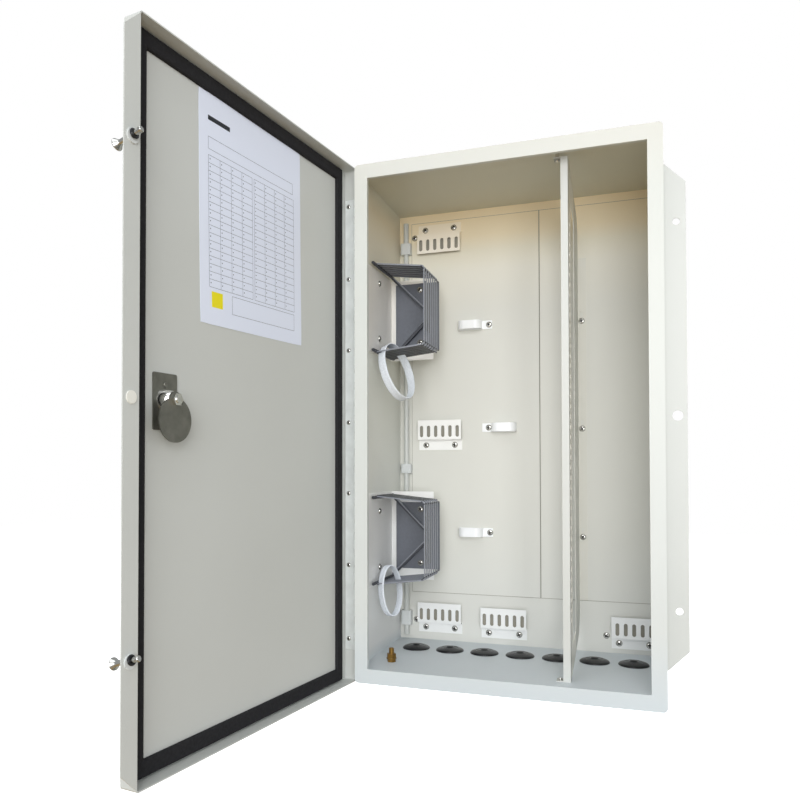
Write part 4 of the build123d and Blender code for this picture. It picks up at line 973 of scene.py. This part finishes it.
# The back of the divider's web, which closes the rear of its window; the divider's colours by depth give it
# painted shade
WEB_X = (94.5 * MM, 95.7 * MM)
PANEL_Y = (-92.0 * MM, -44.0 * MM)
PANEL_Z = (-341.0 * MM, 323.0 * MM)
PANEL_SLOPE = 5.5 * MM


def add_divider_panel():
    bm = bmesh.new()
    corners = (
        (PANEL_Y[0], PANEL_Z[0] + PANEL_SLOPE), (PANEL_Y[1], PANEL_Z[0] + 2 * PANEL_SLOPE),
        (PANEL_Y[1], PANEL_Z[1] - 2 * PANEL_SLOPE), (PANEL_Y[0], PANEL_Z[1] - PANEL_SLOPE),
    )
    sides = [[bm.verts.new(Vector((x, y, z))) for y, z in corners] for x in WEB_X]
    for ring in sides:
        bm.faces.new(ring)
    for i in range(4):
        j = (i + 1) % 4
        bm.faces.new((sides[0][i], sides[0][j], sides[1][j], sides[1][i]))
    mesh = mesh_of("divider_web_panel", bm)
    add_piece("divider_web_panel", mesh, CABINET_BODY, DIVIDER, (), False)


add_divider_panel()

# Grommets: domed rubber with a raised middle and ring, as radius and height in millimetres
GROMMET_PROFILE = (
    (0, 7.6), (2.6, 7.5), (4.6, 7.0), (5.8, 6.1), (6.6, 5.5), (9.0, 5.3), (12.0, 4.6), (13.0, 4.3),
    (13.6, 4.7), (14.6, 4.8), (15.6, 4.3), (17.4, 3.9), (19.8, 3.3), (21.6, 2.5), (22.8, 1.5),
    (23.3, 0.6), (23.3, 0.0), (19.9, 0.0), (19.9, -1.5), (22.0, -1.5), (22.0, -3.2), (21.4, -3.5),
    (0, -3.5),
)
GROMMET_BASE = 4.5 * MM
GROMMET_SEGMENTS = 56


def add_grommets():
    for node in sorted(name for name in NODES if name.startswith("grommet_")):
        low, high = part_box(node)
        middle = ((low.x + high.x) / 2, (low.y + high.y) / 2, high.z - GROMMET_BASE)
        profile = [(r * MM, z * MM) for r, z in GROMMET_PROFILE]
        bm = bmesh.new()
        lathe(bm, profile, Matrix.Translation(middle), GROMMET_SEGMENTS)
        mesh = mesh_of(node, bm)
        piece = add_piece(node + "_rubber", mesh, CABINET_BODY, RUBBER, (node,))
        piece.data.set_sharp_from_angle(angle=math.radians(50))


add_grommets()

# Shade in the comb brackets' hollows and in the joints round the mounting plates
COMB_PLACES = {
    # left edge, width and low edge of the slotted face, in millimetres
    "top_left": (-185.0, 78.5, 311.5),
    "mid_left": (-184.5, 79.0, -25.5),
    "bottom_left": (-186.0, 79.0, -353.0),
    "bottom_middle": (-72.0, 79.0, -356.0),
    "bottom_right": (146.5, 71.0, -358.5),
}
# In millimetres too
COMB_MARGIN = 1.5
COMB_HIGH = 32.0
# In metres
COMB_HOLLOW = 5.0 * MM
SEAM_WIDE = 0.9 * MM
SEAM_LIFT = 0.15 * MM


def add_rect(bm, x0, x1, z0, z1, y):
    """A flat upright face."""
    corners = ((x0, z0), (x1, z0), (x1, z1), (x0, z1))
    bm.faces.new([bm.verts.new(Vector((x, y, z))) for x, z in corners])


def add_shades():
    hollows = bmesh.new()
    for place, (left, width, low) in COMB_PLACES.items():
        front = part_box(f"comb_bracket_{place}")[0].y
        add_rect(
            hollows, (left + COMB_MARGIN) * MM, (left + width - COMB_MARGIN) * MM, (low + COMB_MARGIN) * MM,
            (low + COMB_HIGH) * MM, front + COMB_HOLLOW,
        )
    seams = bmesh.new()
    for side in ("left", "right"):
        low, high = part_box(f"mounting_plate_{side}")
        y = high.y - SEAM_LIFT
        wide = SEAM_WIDE
        add_rect(seams, low.x - wide, low.x, low.z - wide, high.z + wide, y)
        add_rect(seams, high.x, high.x + wide, low.z - wide, high.z + wide, y)
        add_rect(seams, low.x, high.x, high.z, high.z + wide, y)
        add_rect(seams, low.x, high.x, low.z - wide, low.z, y)
    for name, bm in (("comb_hollows", hollows), ("plate_seams", seams)):
        mesh = facing_mesh(name, bm, OUT)
        add_piece(name, mesh, CABINET_BODY, SHADE, (), False)


add_shades()

# Fine rounded edges on the sheet metal and the moulded pieces
EDGE = 0.35 * MM
EDGED = (
    "front_frame", "door_panel", "lock_flange", "divider", "lock_plate", "lock_cam", "lock_nut",
    "earth_nut", "earth_stud",
)
EDGED_KINDS = ("comb_", "cable_clip_", "tray_bracket_", "saddle_")


def soften(node):
    rounding = node.modifiers.new("edges", "BEVEL")
    rounding.width = EDGE
    rounding.segments = 2
    rounding.limit_method = "ANGLE"
    rounding.angle_limit = math.radians(50)
    rounding.use_clamp_overlap = True


for name, node in NODES.items():
    if name in EDGED or name.startswith(EDGED_KINDS):
        soften(node)

# The floor: plain white, it shows behind the part and doesn't light it
FLOOR_DROP = 0.25
FLOOR_REACH = 6.0
level = CAD_BOX[0].z - FLOOR_DROP
floor_corners = [(x * FLOOR_REACH, y * FLOOR_REACH, level) for x, y in ((-1, -1), (1, -1), (1, 1), (-1, 1))]
floor_mesh = bpy.data.meshes.new("studio_floor")
floor_mesh.from_pydata(floor_corners, [], [(0, 1, 2, 3)])
floor = bpy.data.objects.new("studio_floor", floor_mesh)
bpy.context.scene.collection.objects.link(floor)
floor_paint = material("floor_paint", (0.9, 0.9, 0.9, 1), 0.9, specular=0.0)
floor_shader = floor_paint.node_tree.nodes["Principled BSDF"]
floor_shader.inputs["Emission Color"].default_value = (1, 1, 1, 1)
floor_shader.inputs["Emission Strength"].default_value = 1.0
floor_mesh.materials.append(floor_paint)
floor.visible_diffuse = False
floor.visible_glossy = False


def area_light(name, place, target, size, energy, colour):
    """A square soft light that shines from place towards target, size in metres and energy in watts."""
    lamp = bpy.data.lights.new(name, "AREA")
    lamp.size = size
    lamp.energy = energy
    lamp.color = colour
    made = bpy.data.objects.new(name, lamp)
    made.location = place
    made.rotation_mode = "QUATERNION"
    made.rotation_quaternion = (Vector(target) - Vector(place)).to_track_quat("-Z", "Y")
    bpy.context.scene.collection.objects.link(made)


area_light("key", (0.75, -3.3, 0.45), (0, -0.2, 0), 2.2, 78, (1.0, 1.0, 0.995))
area_light("overhead", (-0.4, -1.6, 2.6), (0, -0.2, -0.2), 2.0, 24, (0.95, 0.98, 1.0))

# The world lights from above with cool white and from below with warm tan, and looks white
SKY = (0.96, 0.98, 1.0, 1)
GROUND = (1.0, 0.72, 0.36, 1)
HORIZON = (-0.8, -0.2)
SKY_STRENGTH = 0.52
world = bpy.data.worlds.new("studio")
bpy.context.scene.world = world
world.use_nodes = True
tree = world.node_tree
where = tree.nodes.new("ShaderNodeTexCoord")
split = tree.nodes.new("ShaderNodeSeparateXYZ")
height = tree.nodes.new("ShaderNodeMapRange")
height.inputs["From Min"].default_value = HORIZON[0]
height.inputs["From Max"].default_value = HORIZON[1]
blend = tree.nodes.new("ShaderNodeValToRGB")
blend.color_ramp.elements[0].color = GROUND
blend.color_ramp.elements[1].color = SKY
tree.links.new(where.outputs["Generated"], split.inputs[0])
tree.links.new(split.outputs["Z"], height.inputs["Value"])
tree.links.new(height.outputs["Result"], blend.inputs["Fac"])
sky = tree.nodes["Background"]
sky.inputs["Strength"].default_value = SKY_STRENGTH
tree.links.new(blend.outputs["Color"], sky.inputs["Color"])
backdrop = tree.nodes.new("ShaderNodeBackground")
backdrop.inputs["Color"].default_value = (1, 1, 1, 1)
backdrop.inputs["Strength"].default_value = 1.0
seen = tree.nodes.new("ShaderNodeLightPath")
mix = tree.nodes.new("ShaderNodeMixShader")
tree.links.new(seen.outputs["Is Camera Ray"], mix.inputs[0])
tree.links.new(sky.outputs[0], mix.inputs[1])
tree.links.new(backdrop.outputs[0], mix.inputs[2])
tree.links.new(mix.outputs[0], tree.nodes["World Output"].inputs[0])

# The camera, turned by yaw, pitch and roll, with the photograph's off-centre framing
forward = Vector(
    (
        math.sin(CAMERA_YAW) * math.cos(CAMERA_PITCH),
        math.cos(CAMERA_YAW) * math.cos(CAMERA_PITCH),
        math.sin(CAMERA_PITCH),
    )
)
level_right = Vector((math.cos(CAMERA_YAW), -math.sin(CAMERA_YAW), 0))
level_up = level_right.cross(forward)
right = level_right * math.cos(CAMERA_ROLL) + level_up * math.sin(CAMERA_ROLL)
up = -level_right * math.sin(CAMERA_ROLL) + level_up * math.cos(CAMERA_ROLL)
camera_data = bpy.data.cameras.new("photo_camera")
camera_data.sensor_width = SENSOR
camera_data.lens = FOCAL_PIXELS / IMAGE_SIDE * SENSOR
camera_data.shift_x = (IMAGE_SIDE / 2 - PRINCIPAL_X) / IMAGE_SIDE
camera_data.shift_y = (PRINCIPAL_Y - IMAGE_SIDE / 2) / IMAGE_SIDE
camera = bpy.data.objects.new("photo_camera", camera_data)
turn = Matrix((right, up, -forward)).transposed().to_4x4()
camera.matrix_world = Matrix.Translation(CAMERA_PLACE) @ turn
bpy.context.scene.collection.objects.link(camera)
bpy.context.scene.camera = camera
bpy.context.scene.view_settings.view_transform = "Standard"
